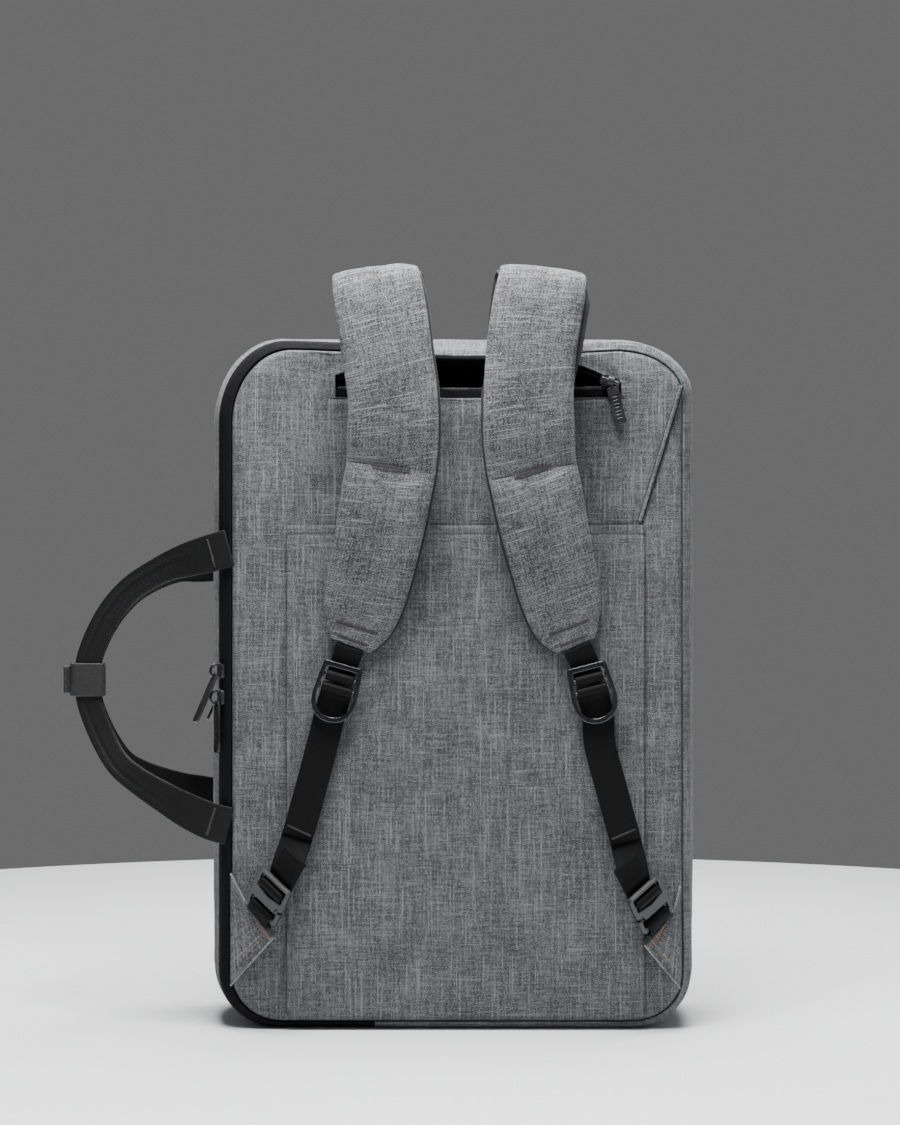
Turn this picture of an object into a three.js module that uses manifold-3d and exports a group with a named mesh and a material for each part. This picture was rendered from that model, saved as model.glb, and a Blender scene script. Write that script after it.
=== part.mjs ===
// A convertible backpack standing on its base: a soft clamshell body with two padded
// shoulder straps that come out of a zipped slot in its back panel, and a pair of
// briefcase handles on its left side. Millimetres, +Z up. The origin is the middle of
// the flat base, the back panel faces -Y, and the handles stand out to -X.
import * as THREE from "three";
import { mergeVertices } from "three/addons/utils/BufferGeometryUtils.js";
import Module from "manifold-3d";

const wasm = await Module();
wasm.setup();

const vec = (x, y, z) => new THREE.Vector3(x, y, z);
const degrees = THREE.MathUtils.degToRad;
const GAP = 0.3; // between pieces that touch on the real bag
const SEAM_GAP = 0.5; // between curved pieces sewn edge to edge

// Body
const BODY_WIDTH = 314;
const BODY_HEIGHT = 445;
const BODY_DEPTH = 108;
const INSET_LEFT = 15.6; // from the body's widest line in to the panels' edge
const INSET_RIGHT = 10.2;
const INSET_TOP = 11;
const INSET_BOTTOM = 5;
const CORNER_TOP_LEFT = { rx: 38, rz: 48 };
const CORNER_TOP_RIGHT = { rx: 44, rz: 30 };
const CORNER_BOTTOM = { rx: 32, rz: 30 };
const CORNER_GROWTH = 9; // how much the corners open between a panel and the widest line
const GUSSET_WALL = 2.4;
const STRIP_WALL = 1.8;
const PANEL_THICKNESS = 5;
const FRONT_CROWN = 9; // how far the stuffed front panel swells

// Where the zips end and the piping takes over, along the top and the bottom
const ZIP_END_TOP = -30;
const ZIP_END_BOTTOM = -50;

// The straps press the top edge of the back panel back and down
const DENT_X = 14;
const DENT_HALF_WIDTH = 128;
const DENT_START = BODY_HEIGHT - 53;
const DENT_LEAN = 10;
const DENT_DROP = 4.5;

// Strap slot in the back panel, its zip and the pocket behind it
const SLOT_LEFT = -BODY_WIDTH / 2 + 82;
const SLOT_RIGHT = BODY_WIDTH / 2 - 50;
const SLOT_FLOOR = BODY_HEIGHT - 42;
const SLOT_END_RISE = 15;
const SLOT_PEAK = 28;
const TAPE_WIDTH = 7;
const TAPE_THICKNESS = 1.2;
const TAPE_RECESS = 1;
const COIL_SIZE = 1.8;
const POCKET_DEPTH = 15;
const POCKET_HEIGHT = 78;
const POCKET_MARGIN = 9;
const POCKET_STEPS = 8;
const LINING_WALL = 1.4;

// Luggage sleeve
const SLEEVE_LEFT = -BODY_WIDTH / 2 + 51.5;
const SLEEVE_RIGHT = BODY_WIDTH / 2 - 35.5;
const SLEEVE_TOP = BODY_HEIGHT - 123.5;
const SLEEVE_BOTTOM = 9;
const SLEEVE_THICKNESS = 1.5;

// Shoulder straps
const STRAP_WIDTH = 56;
const STRAP_THICKNESS = 8;
const STRAP_LINING = 1.5;
const STRAP_CENTRE = 3.7;
const STRAP_SPREAD = 52.6; // from the pair's middle to a strap's centre, at the fold
const STRAP_RISE = 35.5; // of the fold above the body
const STRAP_DROP = 235; // from the fold to the strap's lower end
const STRAP_STANDOFF = 40; // of the front run from the back panel

// Webbing, adjusters and hooks
const WEB_WIDTH = 20;
const WEB_IN_LOCK = 18; // where the adjuster's window squeezes it
const WEB_THICKNESS = 1.5;
const LAYER_STEP = 2;
const LOCK_WIDTH = 29;
const LOCK_LENGTH = 38;
const LOCK_RIM = 3.4;
const LOCK_THICKNESS = 4;
const LOCK_STANDOFF = 11.5; // of the adjuster's middle from the back panel
const BAR_RADIUS = 1.5;
const HOOK_WIDTH = 28;
const HOOK_LENGTH = 28;
const HOOK_THICKNESS = 3.2;
const HOOK_RIM = 3;
const HOOK_STANDOFF = 16.5;
const WING_THICKNESS = 2.2;

// Briefcase handles
const HANDLE_REACH = 97.5;
const HANDLE_TOP = BODY_HEIGHT - 138;
const HANDLE_SPAN = 177;
const HANDLE_WEB = 24;
const HANDLE_THICKNESS = 1.8;
const HANDLE_NARROW = 0.7; // share of the width that is left where the grip is folded
const HANDLE_FOLD = 1.7; // share by which the fold thickens it
const WRAP_HEIGHT = 22;
const WRAP_WALL = 1.8;
const WRAP_CLEARANCE = 0.4; // on the grips' flat sides
const WRAP_SLACK = 1.3; // on their edges, which curve inside the wrap
const WRAP_TAB = 4.5;

// Zip sliders and pulls
const SLIDER_LENGTH = 10;
const SLIDER_WIDTH = 7;
const SLIDER_THICKNESS = 2.4;
const BAIL_RADIUS = 4.6;
const BAIL_WIRE = 0.9;
const BAIL_STANDOFF = 1.4; // of the bail's centre from the slider's face
const PULL_LENGTH = 31;
const PULL_WIDTH = 6.5;
const PULL_THICKNESS = 1.9;
const PULL_EYE = 1.6;
const BRIDGE_LENGTH = 11;
const BRIDGE_RADIUS = 1.5;
const KNUCKLE_WALL = 1.1;
const SLOT_PULL_LENGTH = 24;
const SLOT_PULL_WIDTH = 7.6;

const BACK_FACE = -BODY_DEPTH / 2 + 2; // plane of the back panel's outer face
const PANEL_TOP = BODY_HEIGHT - INSET_TOP;

const fabric = new THREE.MeshStandardMaterial({ color: 0x8d8d8f, roughness: 0.92, metalness: 0 });
const padFabric = new THREE.MeshStandardMaterial({ color: 0x7d7d7f, roughness: 0.94, metalness: 0 });
const webbing = new THREE.MeshStandardMaterial({ color: 0x17171a, roughness: 0.78, metalness: 0 });
const zipTape = new THREE.MeshStandardMaterial({ color: 0x1c1c1f, roughness: 0.7, metalness: 0 });
const liningCloth = new THREE.MeshStandardMaterial({ color: 0x0d0d0f, roughness: 0.9, metalness: 0 });
const hardPlastic = new THREE.MeshStandardMaterial({ color: 0x141416, roughness: 0.42, metalness: 0 });
const hookPlastic = new THREE.MeshStandardMaterial({ color: 0x47474a, roughness: 0.55, metalness: 0 });
const wrapLeather = new THREE.MeshStandardMaterial({ color: 0x202023, roughness: 0.6, metalness: 0 });
const sliderMetal = new THREE.MeshStandardMaterial({ color: 0x2b2b2e, roughness: 0.35, metalness: 0.8 });

const ramp = (t) => {
  const share = THREE.MathUtils.clamp(t, 0, 1);
  return share * share * (3 - 2 * share);
};

// A closed surface through rings of equal count: open ends are closed with a fan, or the
// last ring joins the first. The faces are turned outwards at the end.
function solidFromRings(rings, joined = false) {
  const count = rings[0].length;
  const points = rings.flat();
  const index = [];
  const bands = joined ? rings.length : rings.length - 1;
  for (let band = 0; band < bands; band += 1) {
    const here = band * count;
    const next = ((band + 1) % rings.length) * count;
    for (let k = 0; k < count; k += 1) {
      const side = (k + 1) % count;
      index.push(here + k, here + side, next + side, here + k, next + side, next + k);
    }
  }
  if (!joined) {
    for (const end of [0, rings.length - 1]) {
      const middle = rings[end].reduce((sum, p) => sum.add(p), vec(0, 0, 0)).divideScalar(count);
      points.push(middle);
      for (let k = 0; k < count; k += 1) {
        const a = end * count + k;
        const b = end * count + ((k + 1) % count);
        if (end === 0) index.push(points.length - 1, b, a);
        else index.push(points.length - 1, a, b);
      }
    }
  }
  const geometry = new THREE.BufferGeometry().setFromPoints(points);
  geometry.setIndex(index);
  return facedOut(geometry);
}

function facedOut(geometry) {
  const at = geometry.getAttribute("position");
  const index = geometry.getIndex().array;
  const corner = (k) => vec(at.getX(index[k]), at.getY(index[k]), at.getZ(index[k]));
  let volume = 0;
  for (let k = 0; k < index.length; k += 3) {
    volume += corner(k).dot(corner(k + 1).cross(corner(k + 2)));
  }
  if (volume < 0) {
    for (let k = 0; k < index.length; k += 3) {
      [index[k + 1], index[k + 2]] = [index[k + 2], index[k + 1]];
    }
  }
  return geometry;
}

// Booleans: a geometry as a solid, and back
function toSolid(geometry) {
  const bare = new THREE.BufferGeometry();
  bare.setAttribute("position", geometry.getAttribute("position"));
  if (geometry.getIndex()) bare.setIndex(geometry.getIndex());
  const merged = mergeVertices(bare, 1e-3);
  return new wasm.Manifold(
    new wasm.Mesh({
      numProp: 3,
      vertProperties: new Float32Array(merged.getAttribute("position").array),
      triVerts: new Uint32Array(merged.getIndex().array),
    }),
  );
}

function toGeometry(solid) {
  const mesh = solid.getMesh();
  const geometry = new THREE.BufferGeometry();
  geometry.setAttribute("position", new THREE.BufferAttribute(mesh.vertProperties, 3));
  geometry.setIndex(new THREE.BufferAttribute(mesh.triVerts, 1));
  return geometry;
}

const joinAll = (geometries) =>
  toGeometry(geometries.map(toSolid).reduce((sum, solid) => sum.add(solid)));
const cutFrom = (geometry, cutters) =>
  toGeometry(cutters.map(toSolid).reduce((rest, solid) => rest.subtract(solid), toSolid(geometry)));

function moveVertices(geometry, move) {
  const at = geometry.getAttribute("position");
  for (let k = 0; k < at.count; k += 1) {
    const p = move(vec(at.getX(k), at.getY(k), at.getZ(k)));
    at.setXYZ(k, p.x, p.y, p.z);
  }
  return geometry;
}

// An extrusion of a shape drawn in X and Z, from y = low to y = high
function plateXZ(shape, low, high, options = {}) {
  const geometry = new THREE.ExtrudeGeometry(shape, {
    depth: high - low,
    bevelEnabled: false,
    curveSegments: 6,
    ...options,
  });
  // The shape's X and Y become X and Z, and the extrusion runs to -Y.
  return geometry.rotateX(Math.PI / 2).translate(0, high, 0);
}

function roundedShape(width, height, radius) {
  const shape = new THREE.Shape();
  const x = width / 2;
  const z = height / 2;
  shape.moveTo(-x + radius, -z);
  shape.lineTo(x - radius, -z);
  shape.absarc(x - radius, -z + radius, radius, -Math.PI / 2, 0);
  shape.lineTo(x, z - radius);
  shape.absarc(x - radius, z - radius, radius, 0, Math.PI / 2);
  shape.lineTo(-x + radius, z);
  shape.absarc(-x + radius, z - radius, radius, Math.PI / 2, Math.PI);
  shape.lineTo(-x, -z + radius);
  shape.absarc(-x + radius, -z + radius, radius, Math.PI, 1.5 * Math.PI);
  return shape;
}

// Body outline. inset runs from 0 at the body's widest line to 1 at the panels' edge, lift
// is the same for the bottom alone, which stays flat where the bag stands. The loop starts
// on the top at the zips' end and runs to the left, so the zipped part comes first.
function outline(inset, lift, inward = 0) {
  const left = -BODY_WIDTH / 2 + inset * INSET_LEFT + inward;
  const right = BODY_WIDTH / 2 - inset * INSET_RIGHT - inward;
  const top = BODY_HEIGHT - inset * INSET_TOP - inward;
  const bottom = lift * INSET_BOTTOM + inward;
  const grown = (corner) => ({
    rx: corner.rx + (1 - inset) * CORNER_GROWTH - inward,
    rz: corner.rz + (1 - inset) * CORNER_GROWTH - inward,
  });
  const points = [];
  const straight = (from, to, steps) => {
    for (let k = 0; k < steps; k += 1) {
      const t = k / steps;
      points.push([from[0] + (to[0] - from[0]) * t, from[1] + (to[1] - from[1]) * t]);
    }
  };
  const arc = (cx, cz, radii, fromDegrees, steps) => {
    for (let k = 0; k < steps; k += 1) {
      const angle = degrees(fromDegrees + (90 * k) / steps);
      points.push([cx + radii.rx * Math.cos(angle), cz + radii.rz * Math.sin(angle)]);
    }
  };
  const tl = grown(CORNER_TOP_LEFT);
  const tr = grown(CORNER_TOP_RIGHT);
  const low = grown(CORNER_BOTTOM);
  straight([ZIP_END_TOP, top], [left + tl.rx, top], 4);
  arc(left + tl.rx, top - tl.rz, tl, 90, 6);
  straight([left, top - tl.rz], [left, bottom + low.rz], 6);
  arc(left + low.rx, bottom + low.rz, low, 180, 5);
  straight([left + low.rx, bottom], [ZIP_END_BOTTOM, bottom], 2);
  const zipped = points.length;
  straight([ZIP_END_BOTTOM, bottom], [right - low.rx, bottom], 4);
  arc(right - low.rx, bottom + low.rz, low, 270, 5);
  straight([right, bottom + low.rz], [right, top - tr.rz], 6);
  arc(right - tr.rx, top - tr.rz, tr, 0, 5);
  straight([right - tr.rx, top], [ZIP_END_TOP, top], 7);
  return { points, zipped };
}

// The dent that the straps press into the top of the back
function pressed(p) {
  const u = (p.x - DENT_X) / DENT_HALF_WIDTH;
  if (Math.abs(u) >= 1) return p;
  const along = 0.5 * (1 + Math.cos(Math.PI * u));
  const high = ramp((p.z - DENT_START) / (BODY_HEIGHT - DENT_START));
  const near = ramp(-p.y / (BODY_DEPTH / 2) + 0.15);
  const share = along * high * near;
  return vec(p.x, p.y + DENT_LEAN * share, p.z - DENT_DROP * share);
}

// The body's section from its middle out to a panel: y is a share of half the depth, inset
// and lift are those of outline, and lean is the angle by which the surface faces the panel.
const SIDE_SECTION = [
  { y: 0.0, inset: 0.0, lift: 0, lean: 0 },
  { y: 0.42, inset: 0.16, lift: 0, lean: 6 },
  { y: 0.74, inset: 0.44, lift: 0, lean: 14 },
];
const SHOULDER_SECTION = [
  { y: 0.752, inset: 0.46, lift: 0.08, lean: 20 },
  { y: 0.85, inset: 0.64, lift: 0.42, lean: 38 },
  { y: 0.93, inset: 0.97, lift: 0.97, lean: 70 },
];

function sectionRing(row, face, inward) {
  const lean = degrees(row.lean);
  const ring = outline(row.inset, row.lift, inward * Math.cos(lean));
  const y = face * ((row.y * BODY_DEPTH) / 2 - inward * Math.sin(lean));
  return { points: ring.points.map(([x, z]) => pressed(vec(x, y, z))), zipped: ring.zipped };
}

function gussetGeometry() {
  const half = (face, rows, inward) => rows.map((row) => sectionRing(row, face, inward).points);
  const back = [...SIDE_SECTION].reverse();
  const front = SIDE_SECTION.slice(1);
  const outer = [...half(-1, back, 0), ...half(1, front, 0)];
  const inner = [...half(-1, back, GUSSET_WALL), ...half(1, front, GUSSET_WALL)].reverse();
  return solidFromRings([...outer, ...inner], true);
}

// One strip of the shoulder between the gusset and a panel: the zipped part or the rest
function stripGeometry(face, zippedPart) {
  const outer = SHOULDER_SECTION.map((row) => sectionRing(row, face, 0));
  const inner = SHOULDER_SECTION.map((row) => sectionRing(row, face, STRIP_WALL));
  const count = outer[0].points.length;
  const from = zippedPart ? 0 : outer[0].zipped;
  const to = zippedPart ? outer[0].zipped : count;
  const rings = [];
  for (let k = from; k <= to; k += 1) {
    const at = k % count;
    rings.push([...outer.map((r) => r.points[at]), ...inner.map((r) => r.points[at]).reverse()]);
  }
  // The two strips keep a gap where they meet.
  const shorten = (end, next) => {
    const step = rings[next][0].clone().sub(rings[end][0]).normalize().multiplyScalar(GAP / 2);
    rings[end] = rings[end].map((p) => p.clone().add(step));
  };
  shorten(0, 1);
  shorten(rings.length - 1, rings.length - 2);
  return solidFromRings(rings);
}

// A padded panel in rings about its centre, flat or crowned, with a rounded outer edge
function panelGeometry(face, crown) {
  const edge = outline(1, 1, SEAM_GAP).points;
  const centre = [
    (BODY_WIDTH / 2 - INSET_RIGHT - (BODY_WIDTH / 2 - INSET_LEFT)) / 2,
    (PANEL_TOP + INSET_BOTTOM) / 2,
  ];
  const outerFace = -BACK_FACE;
  const rows = [
    { scale: 0.4, deep: 1 },
    { scale: 0.8, deep: 1 },
    { scale: 0.92, deep: 1 },
    { scale: 0.985, deep: 1 },
    { scale: 1.0, deep: 0.84 },
    { scale: 1.0, deep: 0.38 },
    { scale: 0.988, deep: 0.12 },
    { scale: 0.95, deep: 0 },
    { scale: 0.87, deep: 0 },
    { scale: 0.76, deep: 0 },
    { scale: 0.4, deep: 0 },
  ];
  const rings = rows.map((row) =>
    edge.map(([x, z]) => {
      const px = centre[0] + (x - centre[0]) * row.scale;
      const pz = centre[1] + (z - centre[1]) * row.scale;
      const swell = crown * (1 - row.scale * row.scale);
      return vec(px, face * (outerFace - row.deep * PANEL_THICKNESS + swell), pz);
    }),
  );
  return solidFromRings(rings);
}

// The slot's mouth, drawn in X and Z: a straight floor, upright ends and an arched top.
// inward draws it smaller, and reach trims it to a band below its top.
const SLOT_STEPS = 12;

function slotShape(inward = 0) {
  const left = SLOT_LEFT + inward;
  const right = SLOT_RIGHT - inward;
  const floor = SLOT_FLOOR + inward;
  const peak = SLOT_FLOOR + SLOT_PEAK - inward;
  const end = SLOT_FLOOR + SLOT_END_RISE - inward;
  const span = right - left;
  const shape = new THREE.Shape();
  const straight = (from, to, z, steps) => {
    for (let k = 1; k <= steps; k += 1) shape.lineTo(from + ((to - from) * k) / steps, z);
  };
  shape.moveTo(left, floor);
  straight(left, right, floor, SLOT_STEPS);
  shape.lineTo(right, end - 0.35 * SLOT_END_RISE);
  shape.bezierCurveTo(right - 0.08 * span, end, right - 0.16 * span, peak, right - 0.3 * span, peak);
  straight(right - 0.3 * span, left + 0.22 * span, peak, 6);
  shape.bezierCurveTo(left + 0.1 * span, peak, left + 0.04 * span, end + 0.3, left, end);
  shape.closePath();
  return shape;
}

function backPanelGeometry() {
  const slot = plateXZ(slotShape(), BACK_FACE - 5, BACK_FACE + PANEL_THICKNESS + 5, {
    curveSegments: 8,
  });
  const panel = moveVertices(panelGeometry(-1, 0), pressed);
  return cutFrom(panel, [moveVertices(slot, pressed)]);
}

// Lower half of the slot's zip: a tape on the slot's floor with its coil along the top
function lowerTapeGeometry() {
  const left = SLOT_LEFT + GAP;
  const right = SLOT_RIGHT - GAP;
  const low = SLOT_FLOOR + GAP;
  const y = BACK_FACE + TAPE_RECESS;
  const rings = [];
  for (let k = 0; k <= SLOT_STEPS; k += 1) {
    const x = left + ((right - left) * k) / SLOT_STEPS;
    const top = low + TAPE_WIDTH;
    rings.push(
      [
        vec(x, y, low),
        vec(x, y, top - COIL_SIZE),
        vec(x, y - COIL_SIZE / 2, top - COIL_SIZE * 0.7),
        vec(x, y - COIL_SIZE / 2, top - COIL_SIZE * 0.2),
        vec(x, y, top),
        vec(x, y + TAPE_THICKNESS, top),
        vec(x, y + TAPE_THICKNESS, low),
      ].map(pressed),
    );
  }
  return solidFromRings(rings);
}

// Upper half: a narrow tape that follows the slot's arched top from end to end
function upperTapeGeometry() {
  const reach = TAPE_WIDTH * 0.55;
  const edge = slotShape(GAP).getPoints(8).filter((p) => p.y > SLOT_FLOOR + 0.5 * SLOT_END_RISE);
  const y = BACK_FACE + TAPE_RECESS + 0.4;
  const rings = edge.map((p, k) => {
    const before = edge[Math.max(k - 1, 0)];
    const after = edge[Math.min(k + 1, edge.length - 1)];
    const run = after.clone().sub(before).normalize();
    const inwards = new THREE.Vector2(-run.y, run.x);
    const inner = p.clone().addScaledVector(inwards, reach);
    inner.y = Math.max(inner.y, SLOT_FLOOR + TAPE_WIDTH + 3 * GAP);
    return [
      vec(p.x, y, p.y),
      vec(inner.x, y, inner.y),
      vec(inner.x, y + TAPE_THICKNESS, inner.y),
      vec(p.x, y + TAPE_THICKNESS, p.y),
    ].map(pressed);
  });
  return solidFromRings(rings);
}

// The pocket that the straps stow in: a shallow tray behind the slot, open to the panel.
// Its hollow is the same form drawn smaller by the lining's wall, and cut past its mouth.
function pocketForm(inward) {
  const left = SLOT_LEFT - POCKET_MARGIN + inward;
  const right = SLOT_RIGHT + POCKET_MARGIN - inward;
  const top = SLOT_FLOOR + SLOT_PEAK - inward;
  const floor = SLOT_FLOOR + SLOT_PEAK - POCKET_HEIGHT + inward;
  const mouth = BACK_FACE + PANEL_THICKNESS + SEAM_GAP;
  const open = inward > 0 ? mouth - 2 * LINING_WALL : mouth;
  const rings = [];
  for (let k = 0; k <= POCKET_STEPS; k += 1) {
    const atEnd = k === 0 || k === POCKET_STEPS;
    const x = left + ((right - left) * k) / POCKET_STEPS;
    const deep = mouth + POCKET_DEPTH * (atEnd ? 0.4 : 1) - inward;
    rings.push(
      [
        vec(x, open, floor),
        vec(x, deep, floor + 2),
        vec(x, deep, DENT_START),
        vec(x, deep, top - 12),
        vec(x, deep - 2, top - 1),
        vec(x, open, top),
      ].map(pressed),
    );
  }
  return solidFromRings(rings);
}

const pocketGeometry = () => cutFrom(pocketForm(0), [pocketForm(LINING_WALL)]);

function sleeveGeometry() {
  const middle = [(SLEEVE_LEFT + SLEEVE_RIGHT) / 2, (SLEEVE_TOP + SLEEVE_BOTTOM) / 2];
  const shape = roundedShape(SLEEVE_RIGHT - SLEEVE_LEFT, SLEEVE_TOP - SLEEVE_BOTTOM, 1.5);
  const near = BACK_FACE - GAP - SLEEVE_THICKNESS;
  return plateXZ(shape, near, BACK_FACE - GAP).translate(middle[0], 0, middle[1]);
}

// A band swept through stations {at, across, width, thickness}. section(station) gives the
// outline as [across, out] pairs, and out is the tangent crossed with across.
function sweep(stations, section) {
  const rings = stations.map((station, k) => {
    const before = stations[Math.max(k - 1, 0)].at;
    const after = stations[Math.min(k + 1, stations.length - 1)].at;
    const tangent = after.clone().sub(before).normalize();
    const out = tangent.clone().cross(station.across).normalize();
    const across = out.clone().cross(tangent).normalize();
    return section(station).map(([a, b]) =>
      station.at.clone().addScaledVector(across, a).addScaledVector(out, b),
    );
  });
  return solidFromRings(rings);
}

const webSection = (station) => {
  const a = station.width / 2;
  const b = station.thickness / 2;
  return [
    [-a, -b],
    [a, -b],
    [a, b],
    [-a, b],
  ];
};

// Stations along a smooth curve through the rows, with their widths, thicknesses and across
// directions blended between rows. A row's fine is the number of steps to the next row.
function smoothStations(rows) {
  const curve = new THREE.CatmullRomCurve3(rows.map((row) => row.at), false, "centripetal");
  const last = rows.length - 1;
  const stations = [];
  const addStation = (low, t) => {
    const blend = (name) => rows[low][name] * (1 - t) + rows[low + 1][name] * t;
    stations.push({
      at: curve.getPoint((low + t) / last),
      across: rows[low].across.clone().lerp(rows[low + 1].across, t).normalize(),
      width: blend("width"),
      thickness: blend("thickness"),
    });
  };
  for (let low = 0; low < last; low += 1) {
    for (let k = 0; k < rows[low].fine; k += 1) addStation(low, k / rows[low].fine);
  }
  addStation(last - 1, 1);
  return stations;
}

// The padded straps. above is measured up from the slot's floor, up is a share of STRAP_RISE
// above the body, and down a share of STRAP_DROP below the fold; out is a share of
// STRAP_STANDOFF from the back panel; left and right are shares of STRAP_SPREAD from the
// pair's middle; width and thick are shares of the strap's own.
const STRAP_TUCKED = [
  { above: -12, out: -0.36, left: 0.8, right: 0.86, width: 0.84, thick: 0.34 },
  { above: -1, out: -0.31, left: 0.8, right: 0.86, width: 0.86, thick: 0.36 },
  { above: 8.5, out: -0.22, left: 0.81, right: 0.86, width: 0.88, thick: 0.38 },
  { above: 15, out: -0.1, left: 0.82, right: 0.86, width: 0.91, thick: 0.42 },
  { above: 22.5, out: 0.06, left: 0.83, right: 0.87, width: 0.95, thick: 0.55 },
];
const STRAP_BACK_RUN = [
  { up: -0.21, out: 0.24, left: 0.87, right: 0.89, width: 0.98, thick: 0.9 },
  { up: 0.21, out: 0.36, left: 0.91, right: 0.92, width: 1.0, thick: 1.0 },
  { up: 0.6, out: 0.42, left: 0.95, right: 0.95, width: 1.0, thick: 1.0, fine: 2 },
  { up: 0.88, out: 0.5, left: 0.98, right: 0.98, width: 0.99, thick: 0.76, fine: 3 },
  { up: 1.0, out: 0.675, left: 1.0, right: 1.0, width: 0.96, thick: 0.64, fine: 3 },
  { up: 0.91, out: 0.85, left: 0.99, right: 1.0, width: 0.97, thick: 0.72, fine: 3 },
];
const STRAP_FRONT_RUN = [
  { down: 0.055, out: 0.95, left: 0.965, right: 0.97, width: 1.0, thick: 0.9, turn: -7 },
  { down: 0.13, out: 0.99, left: 0.91, right: 0.91, width: 1.01, thick: 1.04, turn: -8 },
  { down: 0.23, out: 1.0, left: 0.85, right: 0.85, width: 1.0, thick: 1.05, turn: -6 },
  { down: 0.34, out: 0.97, left: 0.785, right: 0.825, width: 1.0, thick: 1.03, turn: -3 },
  { down: 0.445, out: 0.9, left: 0.785, right: 0.835, width: 1.02, thick: 0.95, turn: 1 },
  { down: 0.515, out: 0.82, left: 0.8, right: 0.86, width: 1.0, thick: 0.62, turn: 4 },
  { down: 0.6, out: 0.75, left: 0.87, right: 0.94, width: 1.0, thick: 0.98, turn: 9 },
  { down: 0.7, out: 0.64, left: 0.955, right: 1.035, width: 0.98, thick: 1.02, turn: 12 },
  { down: 0.8, out: 0.51, left: 1.05, right: 1.145, width: 0.94, thick: 0.98, turn: 13 },
  { down: 0.88, out: 0.39, left: 1.14, right: 1.235, width: 0.9, thick: 0.85, turn: 13 },
  { down: 0.94, out: 0.31, left: 1.21, right: 1.3, width: 0.79, thick: 0.66, turn: 14 },
  { down: 0.975, out: 0.275, left: 1.26, right: 1.36, width: 0.64, thick: 0.48, turn: 15 },
  { down: 1.0, out: 0.255, left: 1.3, right: 1.405, width: 0.48, thick: 0.34, turn: 16 },
];

function strapRows(side) {
  const name = side < 0 ? "left" : "right";
  const fold = BODY_HEIGHT + STRAP_RISE;
  const row = (entry, z) => {
    const turn = degrees(side < 0 ? entry.turn ?? -6 : -(entry.turn ?? -6));
    return {
      at: vec(
        STRAP_CENTRE + side * entry[name] * STRAP_SPREAD,
        BACK_FACE - entry.out * STRAP_STANDOFF,
        z,
      ),
      across: vec(Math.cos(turn), 0, -Math.sin(turn)),
      width: entry.width * STRAP_WIDTH,
      thickness: entry.thick * STRAP_THICKNESS,
      fine: entry.fine ?? 1,
    };
  };
  return [
    ...STRAP_TUCKED.map((entry) => row(entry, SLOT_FLOOR + entry.above)),
    ...STRAP_BACK_RUN.map((entry) => row(entry, BODY_HEIGHT + entry.up * STRAP_RISE)),
    ...STRAP_FRONT_RUN.map((entry) => row(entry, fold - entry.down * STRAP_DROP)),
  ];
}

// The pad swells outwards from a flat underside, and the lining lies under it.
const PAD_ACROSS = [-1, -0.92, -0.6, 0.6, 0.92, 1];
const padSection = (station) => {
  const half = station.width / 2;
  const swell = (u) => 0.16 + 0.84 * Math.pow(Math.max(1 - u ** 4, 0), 0.5);
  const top = PAD_ACROSS.map((u) => [u * half, station.thickness * (swell(u) - 0.5)]);
  const under = [-0.5 * station.thickness];
  return [[-half * 0.96, under[0]], [half * 0.96, under[0]], ...top.reverse()];
};

const liningSection = (station) => {
  const half = station.width / 2 - 0.8;
  const top = -station.thickness / 2 - GAP;
  const low = top - Math.min(STRAP_LINING, station.thickness * 0.5);
  return [
    [-half, top],
    [half, top],
    [half, low],
    [-half, low],
  ];
};

// Ladder-lock adjusters, each with its own frame: u across, v down the strap, n outwards.
// aside is a share of STRAP_SPREAD from the pair's middle, below is from the strap's end.
const LOCK_PLACES = {
  left: { aside: -1.4791, below: 30.3, turn: 16 },
  right: { aside: 1.6141, below: 30.9, turn: -14.5 },
};
const STRAP_END = BODY_HEIGHT + STRAP_RISE - STRAP_DROP;

const panelSide = (side) =>
  side < 0 ? -BODY_WIDTH / 2 + INSET_LEFT : BODY_WIDTH / 2 - INSET_RIGHT;

function flatFrame(place, standoff) {
  const turn = degrees(place.turn);
  const x = STRAP_CENTRE + place.aside * STRAP_SPREAD;
  return {
    origin: vec(x, BACK_FACE - standoff, STRAP_END - place.below),
    u: vec(Math.cos(turn), 0, -Math.sin(turn)),
    v: vec(-Math.sin(turn), 0, -Math.cos(turn)),
    n: vec(0, -1, 0),
  };
}

// A frame whose bars and sides look skewed from the front, because the flat piece leans out
// of the back panel's plane: bars and sides are the angles that the two are seen at, and
// inside is its middle's distance from the panel's side.
function leaningFrame(place, standoff) {
  const side = place.side;
  const seen = {
    u: [Math.cos(degrees(place.bars)), Math.sin(degrees(place.bars))],
    v: [Math.sin(degrees(place.sides)), Math.cos(degrees(place.sides))],
  };
  const skew = seen.u[1] * seen.v[1] - seen.u[0] * seen.v[0];
  const share = 1 / (1 + Math.max(skew, 0));
  const flat = Math.sqrt(share);
  const lean = Math.sqrt(1 - share);
  const inner = vec(-side * flat * seen.u[0], -lean, -flat * seen.u[1]);
  const v = vec(side * flat * seen.v[0], lean, -flat * seen.v[1]);
  const u = inner.clone().multiplyScalar(-side);
  const n = u.clone().cross(v).normalize();
  if (n.y > 0) n.negate();
  const x = panelSide(side) - side * place.inside;
  return { origin: vec(x, BACK_FACE - standoff, place.z), u, v, n };
}

const inFrame = (frame, u, v, n) =>
  frame.origin
    .clone()
    .addScaledVector(frame.u, u)
    .addScaledVector(frame.v, v)
    .addScaledVector(frame.n, n);

// A geometry drawn with X across, Z against v and Y against n, carried into a frame
function placeInFrame(geometry, frame) {
  return facedOut(
    toGeometry(toSolid(moveVertices(geometry, (p) => inFrame(frame, p.x, -p.z, -p.y)))),
  );
}

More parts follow.
